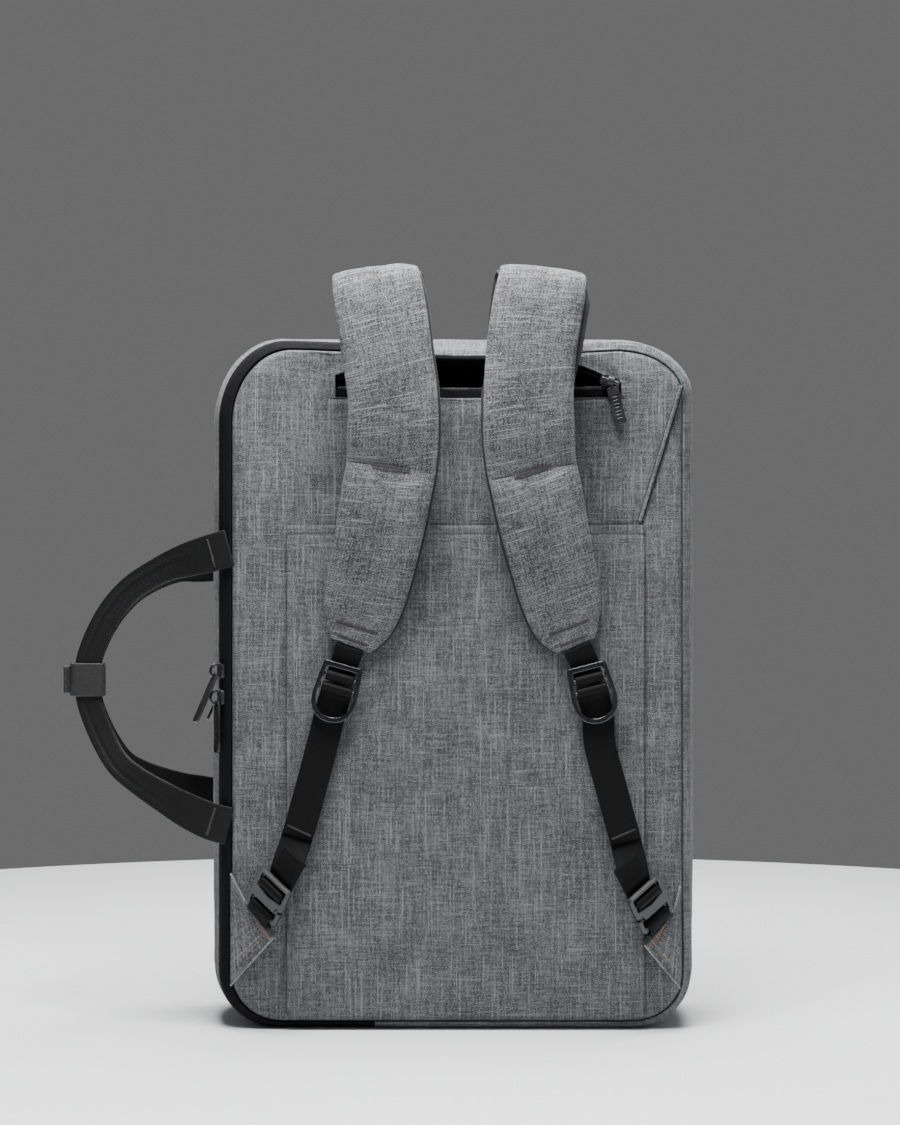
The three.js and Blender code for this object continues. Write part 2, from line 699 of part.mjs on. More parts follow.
const LOCK_BAR_UPPER = -10;
const LOCK_BAR_LOWER = -2.4;
const LOCK_FRONT = LOCK_THICKNESS / 2 + 0.5;
const LOCK_BACK = LOCK_THICKNESS / 2 - 0.5;

function lockOutline(inward) {
  const sideways = 0.76 * inward;
  const top = LOCK_LENGTH / 2 - inward;
  const wide = LOCK_WIDTH / 2 - sideways;
  const shoulder = LOCK_WIDTH * 0.42 - sideways;
  const round = wide;
  const shape = new THREE.Shape();
  shape.moveTo(-shoulder + 1.5, top);
  shape.quadraticCurveTo(-shoulder - 0.4, top, -shoulder - 0.7, top - 2.4);
  shape.lineTo(-wide, -top + round + 2);
  shape.bezierCurveTo(-wide, -top + 0.35 * round, -0.55 * wide, -top, 0, -top);
  shape.bezierCurveTo(0.55 * wide, -top, wide, -top + 0.35 * round, wide, -top + round + 2);
  shape.lineTo(shoulder + 0.7, top - 2.4);
  shape.quadraticCurveTo(shoulder + 0.4, top, shoulder - 1.5, top);
  shape.closePath();
  return shape;
}

function lockGeometry(frame) {
  const shape = lockOutline(0);
  shape.holes.push(lockOutline(LOCK_RIM));
  const rim = plateXZ(shape, -LOCK_FRONT, LOCK_BACK, { curveSegments: 5 });
  const bars = [LOCK_BAR_UPPER, LOCK_BAR_LOWER].map((v) =>
    new THREE.CylinderGeometry(BAR_RADIUS, BAR_RADIUS, LOCK_WIDTH - LOCK_RIM, 8)
      .rotateZ(Math.PI / 2)
      .translate(0, 0, -v),
  );
  return placeInFrame(joinAll([rim, ...bars]), frame);
}

// Points on a half turn of webbing round a bar at v, as [v, n] pairs, from one angle to
// another. An angle of 0 points to +v, and one of 90 to +n.
function hairpin(v, from, to, steps = 6) {
  const radius = BAR_RADIUS + WEB_THICKNESS / 2 + 0.45;
  return Array.from({ length: steps + 1 }, (_, k) => {
    const angle = degrees(from + ((to - from) * k) / steps);
    return [v + radius * Math.cos(angle), radius * Math.sin(angle)];
  });
}

// The short webbing that hangs the adjuster from the padded strap: behind the rim, round the
// upper bar and back behind itself, as [v, n] pairs in the adjuster's frame.
const NEAR_LAYER = -3.4; // n of the layer that lies right behind the plate
const FAR_LAYER = NEAR_LAYER - LAYER_STEP;
const UPPER_LOOP = [
  [-19, NEAR_LAYER],
  [-15.6, NEAR_LAYER],
  [-13.6, -2.2],
  ...hairpin(LOCK_BAR_UPPER, 190, -20),
  [LOCK_BAR_UPPER + 1.3, -3.0],
  [LOCK_BAR_UPPER - 1.4, -4.5],
  [-15.6, FAR_LAYER],
  [-19, FAR_LAYER],
];

function upperWebGeometry(side) {
  const name = side < 0 ? "left" : "right";
  const frame = flatFrame(LOCK_PLACES[name], LOCK_STANDOFF);
  const rows = strapRows(side);
  const end = rows[rows.length - 1];
  const before = rows[rows.length - 2];
  const run = end.at.clone().sub(before.at).normalize();
  const start = end.at.clone().addScaledVector(run, 4 * GAP);
  const station = (at, across) => ({ at, across, width: WEB_IN_LOCK, thickness: WEB_THICKNESS });
  const loop = UPPER_LOOP.map(([v, n]) => station(inFrame(frame, 0, v, n), frame.u));
  const front = start.clone().add(vec(0, -LAYER_STEP / 2, 0));
  const back = start.clone().add(vec(0, LAYER_STEP / 2, 0));
  return sweep([station(front, end.across), ...loop, station(back, end.across)], webSection);
}

// The hooks and the long webbing between adjuster and hook
const HOOK_PLACES = {
  left: { side: -1, inside: 25.2, z: 87, bars: 40, sides: 26 },
  right: { side: 1, inside: 22.4, z: 82, bars: 38, sides: 25 },
};
const HOOK_BAR = -6.5;

// The hook: a frame with a window and bar for the webbing, and below it a slot that is open
// at the inner side, where the wing's loop is hooked in.
function hookGeometry(frame, side) {
  const x = HOOK_WIDTH / 2;
  const z = HOOK_LENGTH / 2;
  const plate = roundedShape(HOOK_WIDTH, HOOK_LENGTH, 3);
  const window = new THREE.Path();
  const windowTop = z - 0.73 * HOOK_RIM;
  window.moveTo(-x + HOOK_RIM, windowTop);
  window.lineTo(x - HOOK_RIM, windowTop);
  window.lineTo(x - HOOK_RIM, 2.7);
  window.lineTo(0, 0.9);
  window.lineTo(-x + HOOK_RIM, 2.7);
  window.closePath();
  plate.holes.push(window);
  const body = plateXZ(plate, -HOOK_THICKNESS / 2, HOOK_THICKNESS / 2, { curveSegments: 4 });
  const inner = -side;
  const mouth = new THREE.Shape();
  const slotTop = -z + HOOK_RIM + 5.4;
  const slotLow = -z + HOOK_RIM + 0.6;
  mouth.moveTo(-inner * (x - HOOK_RIM), slotTop);
  mouth.lineTo(inner * (x - 6), slotTop);
  mouth.lineTo(inner * (x - 5), slotTop + 3.5);
  mouth.lineTo(inner * (x + 1), slotTop + 4.5);
  mouth.lineTo(inner * (x + 1), slotTop + 2.6);
  mouth.lineTo(inner * (x - 3), slotTop + 1.6);
  mouth.lineTo(inner * (x - HOOK_RIM), slotLow);
  mouth.lineTo(-inner * (x - HOOK_RIM), slotLow);
  mouth.closePath();
  const open = plateXZ(mouth, -HOOK_THICKNESS, HOOK_THICKNESS);
  const bar = new THREE.CylinderGeometry(BAR_RADIUS, BAR_RADIUS, HOOK_WIDTH - HOOK_RIM, 8)
    .rotateZ(Math.PI / 2)
    .translate(0, 0, -HOOK_BAR);
  return placeInFrame(joinAll([cutFrom(body, [open]), bar]), frame);
}

// Lower webbing, from the tail's free end up to the adjuster, round its lower bar, down the
// standing run to the hook, round its bar, and up to the sewn end behind.
const LOCK_WRAP = [
  [14, NEAR_LAYER],
  [7, NEAR_LAYER],
  [LOCK_BAR_LOWER + 3.9, -2.6],
  ...hairpin(LOCK_BAR_LOWER, -10, 200),
  [LOCK_BAR_LOWER - 1.3, -3.0],
  [LOCK_BAR_LOWER + 1.4, -4.5],
  [7, FAR_LAYER],
  [14, FAR_LAYER],
];
const HOOK_WRAP = [
  [-17, NEAR_LAYER - 1.2],
  [-12.6, NEAR_LAYER - 1.2],
  [-10.3, -3.3],
  ...hairpin(HOOK_BAR, 190, -20),
  [HOOK_BAR + 1.0, -3.1],
  [HOOK_BAR - 1.8, -4.9],
  [-12, FAR_LAYER - 0.4],
  [-17, FAR_LAYER - 0.3],
];
// down and aside are shares of the way from the adjuster's middle to the hook's, out is the
// distance from the back panel, and blend is how far the run has turned to the hook's frame.
const STANDING_RUN = {
  left: [
    { down: 0.242, aside: 0.195, out: 6.9, blend: 0 },
    { down: 0.494, aside: 0.397, out: 8, blend: 0.1 },
    { down: 0.706, aside: 0.577, out: 11, blend: 0.35 },
  ],
  right: [
    { down: 0.229, aside: 0.115, out: 6.9, blend: 0 },
    { down: 0.449, aside: 0.324, out: 8, blend: 0.1 },
    { down: 0.702, aside: 0.575, out: 11, blend: 0.35 },
  ],
};
const TAIL_ROWS = 3; // how far down the standing run the tail reaches, in rows
const SEWN_LENGTH = 16;

function lowerWebGeometry(side) {
  const name = side < 0 ? "left" : "right";
  const lock = flatFrame(LOCK_PLACES[name], LOCK_STANDOFF);
  const hook = leaningFrame(HOOK_PLACES[name], HOOK_STANDOFF);
  const station = (at, across) => ({ at, across, width: WEB_WIDTH, thickness: WEB_THICKNESS });
  const standing = STANDING_RUN[name].map((row) =>
    station(
      vec(
        lock.origin.x + (hook.origin.x - lock.origin.x) * row.aside,
        BACK_FACE - row.out,
        lock.origin.z + (hook.origin.z - lock.origin.z) * row.down,
      ),
      lock.u.clone().lerp(hook.u, row.blend).normalize(),
    ),
  );
  const tail = standing
    .slice(0, TAIL_ROWS)
    .map((row) => station(row.at.clone().add(vec(0, -LAYER_STEP, 0)), row.across))
    .reverse();
  const wrap = LOCK_WRAP.map(([v, n]) => station(inFrame(lock, 0, v, n), lock.u));
  const hooked = HOOK_WRAP.map(([v, n]) => station(inFrame(hook, 0, v, n), hook.u));
  const end = HOOK_WRAP[HOOK_WRAP.length - 1];
  const sewn = station(inFrame(hook, 0, end[0] - SEWN_LENGTH, end[1] - 1.5), hook.u);
  return sweep([...tail, ...wrap, ...standing, ...hooked, sewn], webSection);
}

// The corner wing: a folded triangle of cloth that runs from the panel's side seam to a
// free edge, into which the loop for the hook is sewn. The edge's two ends are u outwards
// from the hook's middle, v and n, in the hook's frame.
const WING_SEAM = {
  left: { inside: -0.1, high: 100, low: 28.7 },
  right: { inside: 2.3, high: 92, low: 27 },
};
const WING_EDGE = { outer: [15.2, 16.4, -0.6], inner: [-14.6, 22.4, -2.4] };

function mouthFrame(name) {
  const { side } = HOOK_PLACES[name];
  const hook = leaningFrame(HOOK_PLACES[name], HOOK_STANDOFF);
  const corner = ([u, v, n]) => inFrame(hook, side * u, v, n);
  const start = corner(WING_EDGE.outer);
  const end = corner(WING_EDGE.inner);
  const u = end.clone().sub(start).normalize();
  if (u.dot(hook.u) < 0) u.negate();
  const v = hook.v.clone().addScaledVector(u, -hook.v.dot(u)).normalize();
  const n = u.clone().cross(v).normalize();
  if (n.y > 0) n.negate();
  return { start, end, hook, origin: start.clone().lerp(end, 0.5), u, v, n };
}

// The loop round the hook's end bar, as [v, n] pairs in the hook's frame. Below the bar it
// turns from the hook's frame into that of the wing's edge, which lies at v = WING_MOUTH.
const WING_MOUTH = 20.5;
const WING_LOOP = [
  [19.2, 1.0],
  [16.7, 1.7],
  [14.4, 2.6],
  [12, 2.8],
  [10.2, 2.6],
  [8.9, 1.5],
  [8.6, 0],
  [8.9, -1.5],
  [10.2, -2.6],
  [12, -2.8],
  [14.4, -2.6],
  [16.7, -1.7],
  [19.2, -1.0],
];

function wingLoopGeometry(name) {
  const mouth = mouthFrame(name);
  const stations = WING_LOOP.map(([v, n]) => {
    const t = ramp((v - 14) / (WING_MOUTH - 15));
    return {
      at: inFrame(mouth.hook, 0, v, n).lerp(inFrame(mouth, 0, v - WING_MOUTH, n), t),
      across: mouth.hook.u.clone().lerp(mouth.u, t).normalize(),
      width: WEB_WIDTH - 1,
      thickness: WEB_THICKNESS - 0.3,
    };
  });
  return sweep(stations, webSection);
}

function wingGeometry(name) {
  const mouth = mouthFrame(name);
  const seam = WING_SEAM[name];
  const { side } = HOOK_PLACES[name];
  const seamX = panelSide(side) - side * seam.inside;
  const half = WING_THICKNESS / 2;
  const seamY = BACK_FACE - GAP - half;
  const steps = 6;
  const rings = [];
  for (let k = 0; k <= steps; k += 1) {
    const t = k / steps;
    const root = vec(seamX, seamY, seam.high + (seam.low - seam.high) * t);
    const tip = mouth.start.clone().lerp(mouth.end, t);
    const middle = root.clone().lerp(tip, 0.5);
    rings.push([
      root.clone().add(vec(0, -half, 0)),
      middle.clone().add(vec(0, -1.3 * half, 0)),
      tip.clone().addScaledVector(mouth.n, 1.5 * half),
      tip.clone().addScaledVector(mouth.n, -1.5 * half),
      middle.clone().add(vec(0, half, 0)),
      root.clone().add(vec(0, half, 0)),
    ]);
  }
  return solidFromRings(rings);
}

// Briefcase handles. reach is a share of HANDLE_REACH from the panel's side, down a share of
// HANDLE_SPAN from the upper end, near a share of the way in from a panel's face to the
// middle, and fold runs from the flat ends to the folded grip.
const HANDLE_ROWS = [
  { reach: 0.0, down: 0.0, near: 0.0, fold: 0 },
  { reach: 0.12, down: 0.018, near: 0.06, fold: 0 },
  { reach: 0.29, down: 0.043, near: 0.22, fold: 0.3 },
  { reach: 0.45, down: 0.073, near: 0.42, fold: 0.8 },
  { reach: 0.69, down: 0.148, near: 0.72, fold: 1 },
  { reach: 0.825, down: 0.225, near: 0.86, fold: 1 },
  { reach: 0.91, down: 0.3, near: 0.93, fold: 1 },
  { reach: 0.965, down: 0.368, near: 0.96, fold: 1 },
  { reach: 0.995, down: 0.425, near: 0.97, fold: 1 },
  { reach: 1.0, down: 0.487, near: 0.97, fold: 1 },
  { reach: 0.995, down: 0.548, near: 0.97, fold: 1 },
  { reach: 0.958, down: 0.618, near: 0.955, fold: 1 },
  { reach: 0.875, down: 0.718, near: 0.9, fold: 1 },
  { reach: 0.78, down: 0.796, near: 0.8, fold: 1 },
  { reach: 0.66, down: 0.846, near: 0.66, fold: 0.9 },
  { reach: 0.42, down: 0.917, near: 0.38, fold: 0.5 },
  { reach: 0.28, down: 0.952, near: 0.2, fold: 0.2 },
  { reach: 0.12, down: 0.985, near: 0.06, fold: 0 },
  { reach: 0.0, down: 1.0, near: 0.0, fold: 0 },
];
const FAR_SPAN_SHARE = 0.93; // the far handle's ends sit a little closer together

function handleRows(face) {
  const share = face < 0 ? 1 : FAR_SPAN_SHARE;
  const root = -BODY_WIDTH / 2 + INSET_LEFT - 1;
  const middle = HANDLE_TOP - HANDLE_SPAN / 2;
  const outside = -BACK_FACE + GAP + HANDLE_THICKNESS / 2;
  const grip = (HANDLE_THICKNESS * HANDLE_FOLD) / 2 + GAP / 2;
  return HANDLE_ROWS.map((row) => ({
    at: vec(
      root - row.reach * HANDLE_REACH,
      face * (outside + (grip - outside) * Math.min(row.near / 0.97, 1)),
      middle + (0.5 - row.down) * HANDLE_SPAN * (share + (1 - share) * row.fold),
    ),
    fold: row.fold,
    width: HANDLE_WEB * (1 + (HANDLE_NARROW - 1) * row.fold),
    thickness: HANDLE_THICKNESS * (1 + (HANDLE_FOLD - 1) * row.fold),
  }));
}

function handleGeometry(face) {
  const rows = handleRows(face);
  const stationed = rows.map((row, k) => {
    const before = rows[Math.max(k - 1, 0)].at;
    const after = rows[Math.min(k + 1, rows.length - 1)].at;
    const tangent = after.clone().sub(before).normalize();
    return { ...row, across: tangent.cross(vec(0, 1, 0)).normalize(), fine: 2 };
  });
  return sweep(smoothStations(stationed), webSection);
}

// The wrap that holds the two grips together, with the end of its flap on the outer side
function wrapGeometry() {
  const grip = handleRows(-1)[9];
  const width = grip.width + 2 * (WRAP_SLACK + WRAP_WALL);
  const inner = 2 * grip.thickness + GAP + 2 * WRAP_CLEARANCE;
  const depth = inner + 2 * WRAP_WALL;
  const shape = roundedShape(width, depth, 3);
  shape.holes.push(roundedShape(grip.width + 2 * WRAP_SLACK, inner, 1.2));
  const band = new THREE.ExtrudeGeometry(shape, {
    depth: WRAP_HEIGHT,
    bevelEnabled: false,
    curveSegments: 4,
  });
  const tab = new THREE.BoxGeometry(WRAP_TAB + 2, 2 * WRAP_WALL, WRAP_HEIGHT * 0.86);
  tab.translate(-width / 2 - WRAP_TAB / 2 + 1, 0, WRAP_HEIGHT / 2);
  return joinAll([band, tab]).translate(grip.at.x, 0, grip.at.z - WRAP_HEIGHT / 2);
}

// Side zips: a slider rides on a zip strip, and its pull rides on the slider's bail. The
// slider is drawn with its base in the plane X = 0, standing out to -X, and its bail is an
// arc in X and Z about the origin, which is also the pull's hinge.
const SIDE_SLIDERS = {
  back_upper: { face: -1, up: 10, hang: 25 },
  back_lower: { face: -1, up: -7, hang: 0 },
  front: { face: 1, up: 3.5, hang: 28 },
};
const SLIDERS_LEVEL = HANDLE_TOP - HANDLE_SPAN / 2; // of which up is measured
const SIDE_SLIDER_TURN = 28;

function sideSliderPlace(name) {
  const { face, up } = SIDE_SLIDERS[name];
  const row = SHOULDER_SECTION[1];
  const y = (face * row.y * BODY_DEPTH) / 2;
  const x = -BODY_WIDTH / 2 + row.inset * INSET_LEFT;
  const out = degrees(SIDE_SLIDER_TURN);
  const step = GAP + SLIDER_THICKNESS + BAIL_STANDOFF;
  return vec(x - step * Math.cos(out), y + face * step * Math.sin(out), SLIDERS_LEVEL + up);
}

// Turns a drawing's -X to the slope of the shoulder and sets it at the slider's place
function atSideSlider(geometry, name) {
  const place = sideSliderPlace(name);
  const turn = degrees(SIDE_SLIDER_TURN) * -SIDE_SLIDERS[name].face;
  return geometry.rotateZ(turn).translate(place.x, place.y, place.z);
}

function sideSliderGeometry(name) {
  const body = new THREE.ExtrudeGeometry(roundedShape(SLIDER_WIDTH, SLIDER_LENGTH, 2), {
    depth: SLIDER_THICKNESS,
    bevelEnabled: false,
    curveSegments: 3,
  });
  body.rotateX(Math.PI / 2).rotateZ(Math.PI / 2).translate(BAIL_STANDOFF, 0, 0);
  const arc = [];
  const steps = 8;
  for (let k = 0; k <= steps; k += 1) {
    const angle = Math.PI / 2 + (Math.PI * k) / steps;
    arc.push(vec(BAIL_RADIUS * Math.cos(angle), 0, BAIL_RADIUS * Math.sin(angle)));
  }
  arc[0].x += BAIL_STANDOFF + 0.5;
  arc[steps].x += BAIL_STANDOFF + 0.5;
  const bail = wireGeometry(arc, BAIL_WIRE, vec(0, 1, 0));
  return atSideSlider(joinAll([body, bail]), name);
}

// A round wire through points that lie in a plane, where flat is the plane's normal
function wireGeometry(points, radius, flat) {
  const stations = points.map((at) => ({ at, across: flat }));
  const around = 6;
  const section = () =>
    Array.from({ length: around }, (_, k) => {
      const angle = (2 * Math.PI * k) / around;
      return [radius * Math.cos(angle), radius * Math.sin(angle)];
    });
  return sweep(stations, section);
}

// The pull: a tab drawn hanging straight down from its eye, its width along Y
function sidePullGeometry(name) {
  const { hang } = SIDE_SLIDERS[name];
  const eye = BAIL_RADIUS;
  const tip = PULL_LENGTH + BAIL_RADIUS;
  const half = PULL_WIDTH / 2;
  const shape = new THREE.Shape();
  shape.moveTo(-half * 0.75, -eye + PULL_EYE + 1);
  shape.lineTo(half * 0.75, -eye + PULL_EYE + 1);
  shape.lineTo(half, -eye - PULL_EYE - 2.5);
  shape.lineTo(half, -tip + 2);
  shape.quadraticCurveTo(half, -tip, 0, -tip);
  shape.quadraticCurveTo(-half, -tip, -half, -tip + 2);
  shape.lineTo(-half, -eye - PULL_EYE - 2.5);
  shape.closePath();
  const hole = new THREE.Path();
  hole.absarc(0, -eye, PULL_EYE, 0, 2 * Math.PI);
  shape.holes.push(hole);
  const tab = plateXZ(shape, -PULL_THICKNESS / 2, PULL_THICKNESS / 2, { curveSegments: 5 });
  tab.rotateZ(Math.PI / 2).rotateY(degrees(hang));
  return atSideSlider(tab, name);
}

// The slot's slider, with a bridge along the zip, and its pull on a knuckle round the bridge
const SLOT_SLIDER = { x: SLOT_RIGHT - 7, z: SLOT_FLOOR + 10.2, tilt: 18, hang: -14 };

function slotHinge() {
  const rise = SLIDER_THICKNESS + KNUCKLE_WALL + BRIDGE_RADIUS + 1.2;
  const seat = pressed(vec(SLOT_SLIDER.x, BACK_FACE, SLOT_SLIDER.z));
  return vec(seat.x, seat.y - rise - GAP, seat.z);
}

function slotSliderGeometry() {
  const hinge = slotHinge();
  const rise = KNUCKLE_WALL + BRIDGE_RADIUS + 1.2;
  const body = plateXZ(
    roundedShape(SLIDER_LENGTH + 3, SLIDER_WIDTH + 0.5, 3),
    rise,
    rise + SLIDER_THICKNESS,
    { curveSegments: 4 },
  );
  const bridge = new THREE.CylinderGeometry(BRIDGE_RADIUS, BRIDGE_RADIUS, BRIDGE_LENGTH, 10)
    .rotateZ(Math.PI / 2);
  const posts = [-1, 1].map((end) =>
    new THREE.BoxGeometry(2.2, rise + 1.2, 2.8).translate(
      (end * (BRIDGE_LENGTH - 1.6)) / 2,
      (rise + 1.2) / 2 - 0.8,
      0,
    ),
  );
  return joinAll([body, bridge, ...posts])
    .rotateY(degrees(SLOT_SLIDER.tilt))
    .translate(hinge.x, hinge.y, hinge.z);
}

function slotPullGeometry() {
  const hinge = slotHinge();
  const outer = BRIDGE_RADIUS + 0.45 + KNUCKLE_WALL;
  const ring = new THREE.Shape();
  ring.absarc(0, 0, outer, 0, 2 * Math.PI);
  const bore = new THREE.Path();
  bore.absarc(0, 0, BRIDGE_RADIUS + 0.45, 0, 2 * Math.PI, true);
  ring.holes.push(bore);
  const knuckle = new THREE.ExtrudeGeometry(ring, { depth: 4, bevelEnabled: false, curveSegments: 8 });
  knuckle.translate(0, 0, -2).rotateY(Math.PI / 2).rotateY(degrees(SLOT_SLIDER.tilt));
  const shape = roundedShape(SLOT_PULL_WIDTH, SLOT_PULL_LENGTH, 1.4);
  const tab = plateXZ(shape, -PULL_THICKNESS / 2, PULL_THICKNESS / 2, { curveSegments: 4 });
  tab.translate(0, 0, -outer - SLOT_PULL_LENGTH / 2 - 1).rotateY(degrees(SLOT_SLIDER.hang));
  const neck = new THREE.BoxGeometry(2.4, PULL_THICKNESS, 3.4);
  neck.translate(0, 0, -outer - 1.25).rotateY(degrees(SLOT_SLIDER.hang));
  return joinAll([knuckle, tab, neck]).translate(hinge.x, hinge.y, hinge.z);
}

// Assembly
const backpack = new THREE.Group();
backpack.name = "convertible_backpack";

function add(name, geometry, material) {
  const mesh = new THREE.Mesh(geometry, material);
  mesh.name = name;
  backpack.add(mesh);
}

add("back_panel", backPanelGeometry(), fabric);
add("luggage_sleeve", sleeveGeometry(), fabric);
add("front_panel", panelGeometry(1, FRONT_CROWN), fabric);
add("gusset", gussetGeometry(), fabric);
add("back_zip", stripGeometry(-1, true), zipTape);
add("back_piping", stripGeometry(-1, false), fabric);
add("front_zip", stripGeometry(1, true), zipTape);
add("front_piping", stripGeometry(1, false), fabric);
add("strap_pocket", pocketGeometry(), liningCloth);
add("slot_tape_lower", lowerTapeGeometry(), zipTape);
add("slot_tape_upper", upperTapeGeometry(), zipTape);
add("slot_slider", slotSliderGeometry(), sliderMetal);
add("slot_pull", slotPullGeometry(), sliderMetal);

for (const name of Object.keys(SIDE_SLIDERS)) {
  add(`side_slider_${name}`, sideSliderGeometry(name), sliderMetal);
  add(`side_pull_${name}`, sidePullGeometry(name), sliderMetal);
}

add("handle_back", handleGeometry(-1), webbing);
add("handle_front", handleGeometry(1), webbing);
add("handle_wrap", wrapGeometry(), wrapLeather);

for (const [name, side] of [["left", -1], ["right", 1]]) {
  const stations = smoothStations(strapRows(side));
  add(`strap_pad_${name}`, sweep(stations, padSection), padFabric);
  add(`strap_lining_${name}`, sweep(stations, liningSection), liningCloth);
  add(`upper_webbing_${name}`, upperWebGeometry(side), webbing);
  const lock = flatFrame(LOCK_PLACES[name], LOCK_STANDOFF);
  add(`adjuster_${name}`, lockGeometry(lock), hardPlastic);
  add(`lower_webbing_${name}`, lowerWebGeometry(side), webbing);
  const hook = leaningFrame(HOOK_PLACES[name], HOOK_STANDOFF);
  add(`hook_${name}`, hookGeometry(hook, side), hookPlastic);
  add(`wing_loop_${name}`, wingLoopGeometry(name), webbing);
  add(`wing_${name}`, wingGeometry(name), fabric);
}

export default backpack;
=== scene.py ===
"""A convertible backpack standing on its base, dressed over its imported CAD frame.

Every size is in millimetres, as in the CAD source, and becomes metres where a mesh is made.
The cloth pieces are grids of points worked out with numpy. Each carries a UV map called
"cloth" that holds millimetres across and along the cloth, and the weaves read that map.
"""

import math

import bmesh
import bpy
import numpy as np
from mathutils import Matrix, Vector


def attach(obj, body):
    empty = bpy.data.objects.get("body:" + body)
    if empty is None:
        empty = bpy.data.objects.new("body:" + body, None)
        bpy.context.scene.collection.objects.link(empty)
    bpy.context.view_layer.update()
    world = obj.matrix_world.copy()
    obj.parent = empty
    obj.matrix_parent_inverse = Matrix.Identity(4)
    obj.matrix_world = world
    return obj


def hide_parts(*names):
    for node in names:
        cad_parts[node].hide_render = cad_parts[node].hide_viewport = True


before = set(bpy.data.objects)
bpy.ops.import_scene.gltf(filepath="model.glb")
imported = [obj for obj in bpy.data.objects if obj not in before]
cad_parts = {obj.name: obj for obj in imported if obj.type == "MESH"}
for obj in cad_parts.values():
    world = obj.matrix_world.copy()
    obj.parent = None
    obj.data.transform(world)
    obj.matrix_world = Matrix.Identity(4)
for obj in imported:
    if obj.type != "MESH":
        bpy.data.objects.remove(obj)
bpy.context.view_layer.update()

MM = 0.001
BAG = "bag"
CLOTH_MAP = "cloth"

# Body, with the CAD source's own values
GAP = 0.3
SEAM_GAP = 0.5
BODY_WIDTH = 314
BODY_HEIGHT = 445
BODY_DEPTH = 108
INSET_LEFT = 15.6
INSET_RIGHT = 10.2
INSET_TOP = 11
INSET_BOTTOM = 5
CORNER_TOP_LEFT = (38, 48)
CORNER_TOP_RIGHT = (44, 30)
CORNER_BOTTOM = (32, 30)
CORNER_GROWTH = 9
GUSSET_WALL = 2.4
STRIP_WALL = 1.8
PANEL_THICKNESS = 5
FRONT_CROWN = 9
BACK_FACE = -BODY_DEPTH / 2 + 2
PANEL_TOP = BODY_HEIGHT - INSET_TOP
ZIP_END_TOP = -30
ZIP_END_BOTTOM = -50

# Outline stretches: steps of the CAD outline, here each cut into FINE, and the zipped ones
OUTLINE_STEPS = (4, 6, 6, 5, 2, 4, 5, 6, 5, 7)
ZIPPED_STRETCHES = 5
FINE = 9

# Dent that the straps press into the top of the back: its middle, half width, lowest level
# and how far it moves the cloth
DENT_CENTRE = 14
DENT_HALF_WIDTH = 128
DENT_LEVEL = 392
DENT_PUSH = np.array([0, 10.0, -4.5])

# Rows from the body's middle to a panel: y share, inset, lift, lean in degrees
SHOULDER_ROWS = np.array([
    (0.0, 0.0, 0.0, 0),
    (0.42, 0.16, 0.0, 6),
    (0.74, 0.44, 0.0, 14),
    (0.752, 0.46, 0.08, 20),
    (0.85, 0.64, 0.42, 38),
    (0.93, 0.97, 0.97, 70),
])
SIDE_ROW_COUNT = 3
# what is left of the CAD's gap between the side wall and the strips, so that no light passes
SEAM_LEFT_OPEN = 0.1

# Strap slot and pocket
SLOT_LEFT = -75
SLOT_RIGHT = 107
SLOT_FLOOR = 403
SLOT_END_RISE = 15
SLOT_PEAK = 28
TAPE_WIDTH = 7
TAPE_THICKNESS = 1.2
TAPE_RECESS = 1
# where the upper tape rolls out over the hem: how far from the slot's left and right end it
# starts, and over what length
TAPE_ROLL_ENDS = (45, 62)
TAPE_ROLL_RAMP = 14
POCKET_DEPTH = 15
POCKET_HEIGHT = 78
POCKET_MARGIN = 9
LINING_WALL = 1.4

# Luggage sleeve
SLEEVE_LEFT = -105.5
SLEEVE_RIGHT = 121.5
SLEEVE_TOP = 321.5
SLEEVE_BOTTOM = 9
SLEEVE_THICKNESS = 1.5
SIDE_STITCH = 3.8
TOP_STITCH = 5.9
# close rows of points across the sleeve's hems, by their distances from its edges
SIDE_HEM_STEPS = np.array([0, 0.3, 1.0, 2.2, 3.3, SIDE_STITCH, 4.3, 5.6])
TOP_HEM_STEPS = np.array([0, 0.3, 1.0, 2.2, 4.2, 5.4, TOP_STITCH, 6.4, 8])
LOW_HEM_STEPS = np.array([2, 0.8, 0])


def ramp(t):
    """Smooth step: 0 below t = 0, 1 above t = 1, and 3t^2 - 2t^3 between."""
    t = np.clip(t, 0, 1)
    return t * t * (3 - 2 * t)


def hump(t):
    """A bell from 0 through 1 at t = 0.5 back to 0, level at both ends."""
    return 0.5 - 0.5 * np.cos(2 * np.pi * np.clip(t, 0, 1))


def unit(v):
    """Vectors along the last axis, each made one long."""
    return v / np.maximum(np.linalg.norm(v, axis=-1, keepdims=True), 1e-9)


def ripple(x, z, size, seed):
    """An uneven swell from about -1 to 1: six crossed sine waves, each about size long."""
    draw = np.random.default_rng(seed)
    total = 0
    for _ in range(6):
        turn, phase = draw.uniform(0, np.pi), draw.uniform(0, 2 * np.pi)
        length = size * draw.uniform(0.7, 1.6)
        total = total + np.sin((x * np.cos(turn) + z * np.sin(turn)) * 2 * np.pi / length + phase)
    return total / 3


def along(points):
    """Distance run along each row of points, starting at 0."""
    steps = np.linalg.norm(np.diff(points, axis=0), axis=-1)
    return np.concatenate([np.zeros_like(steps[:1]), np.cumsum(steps, axis=0)])


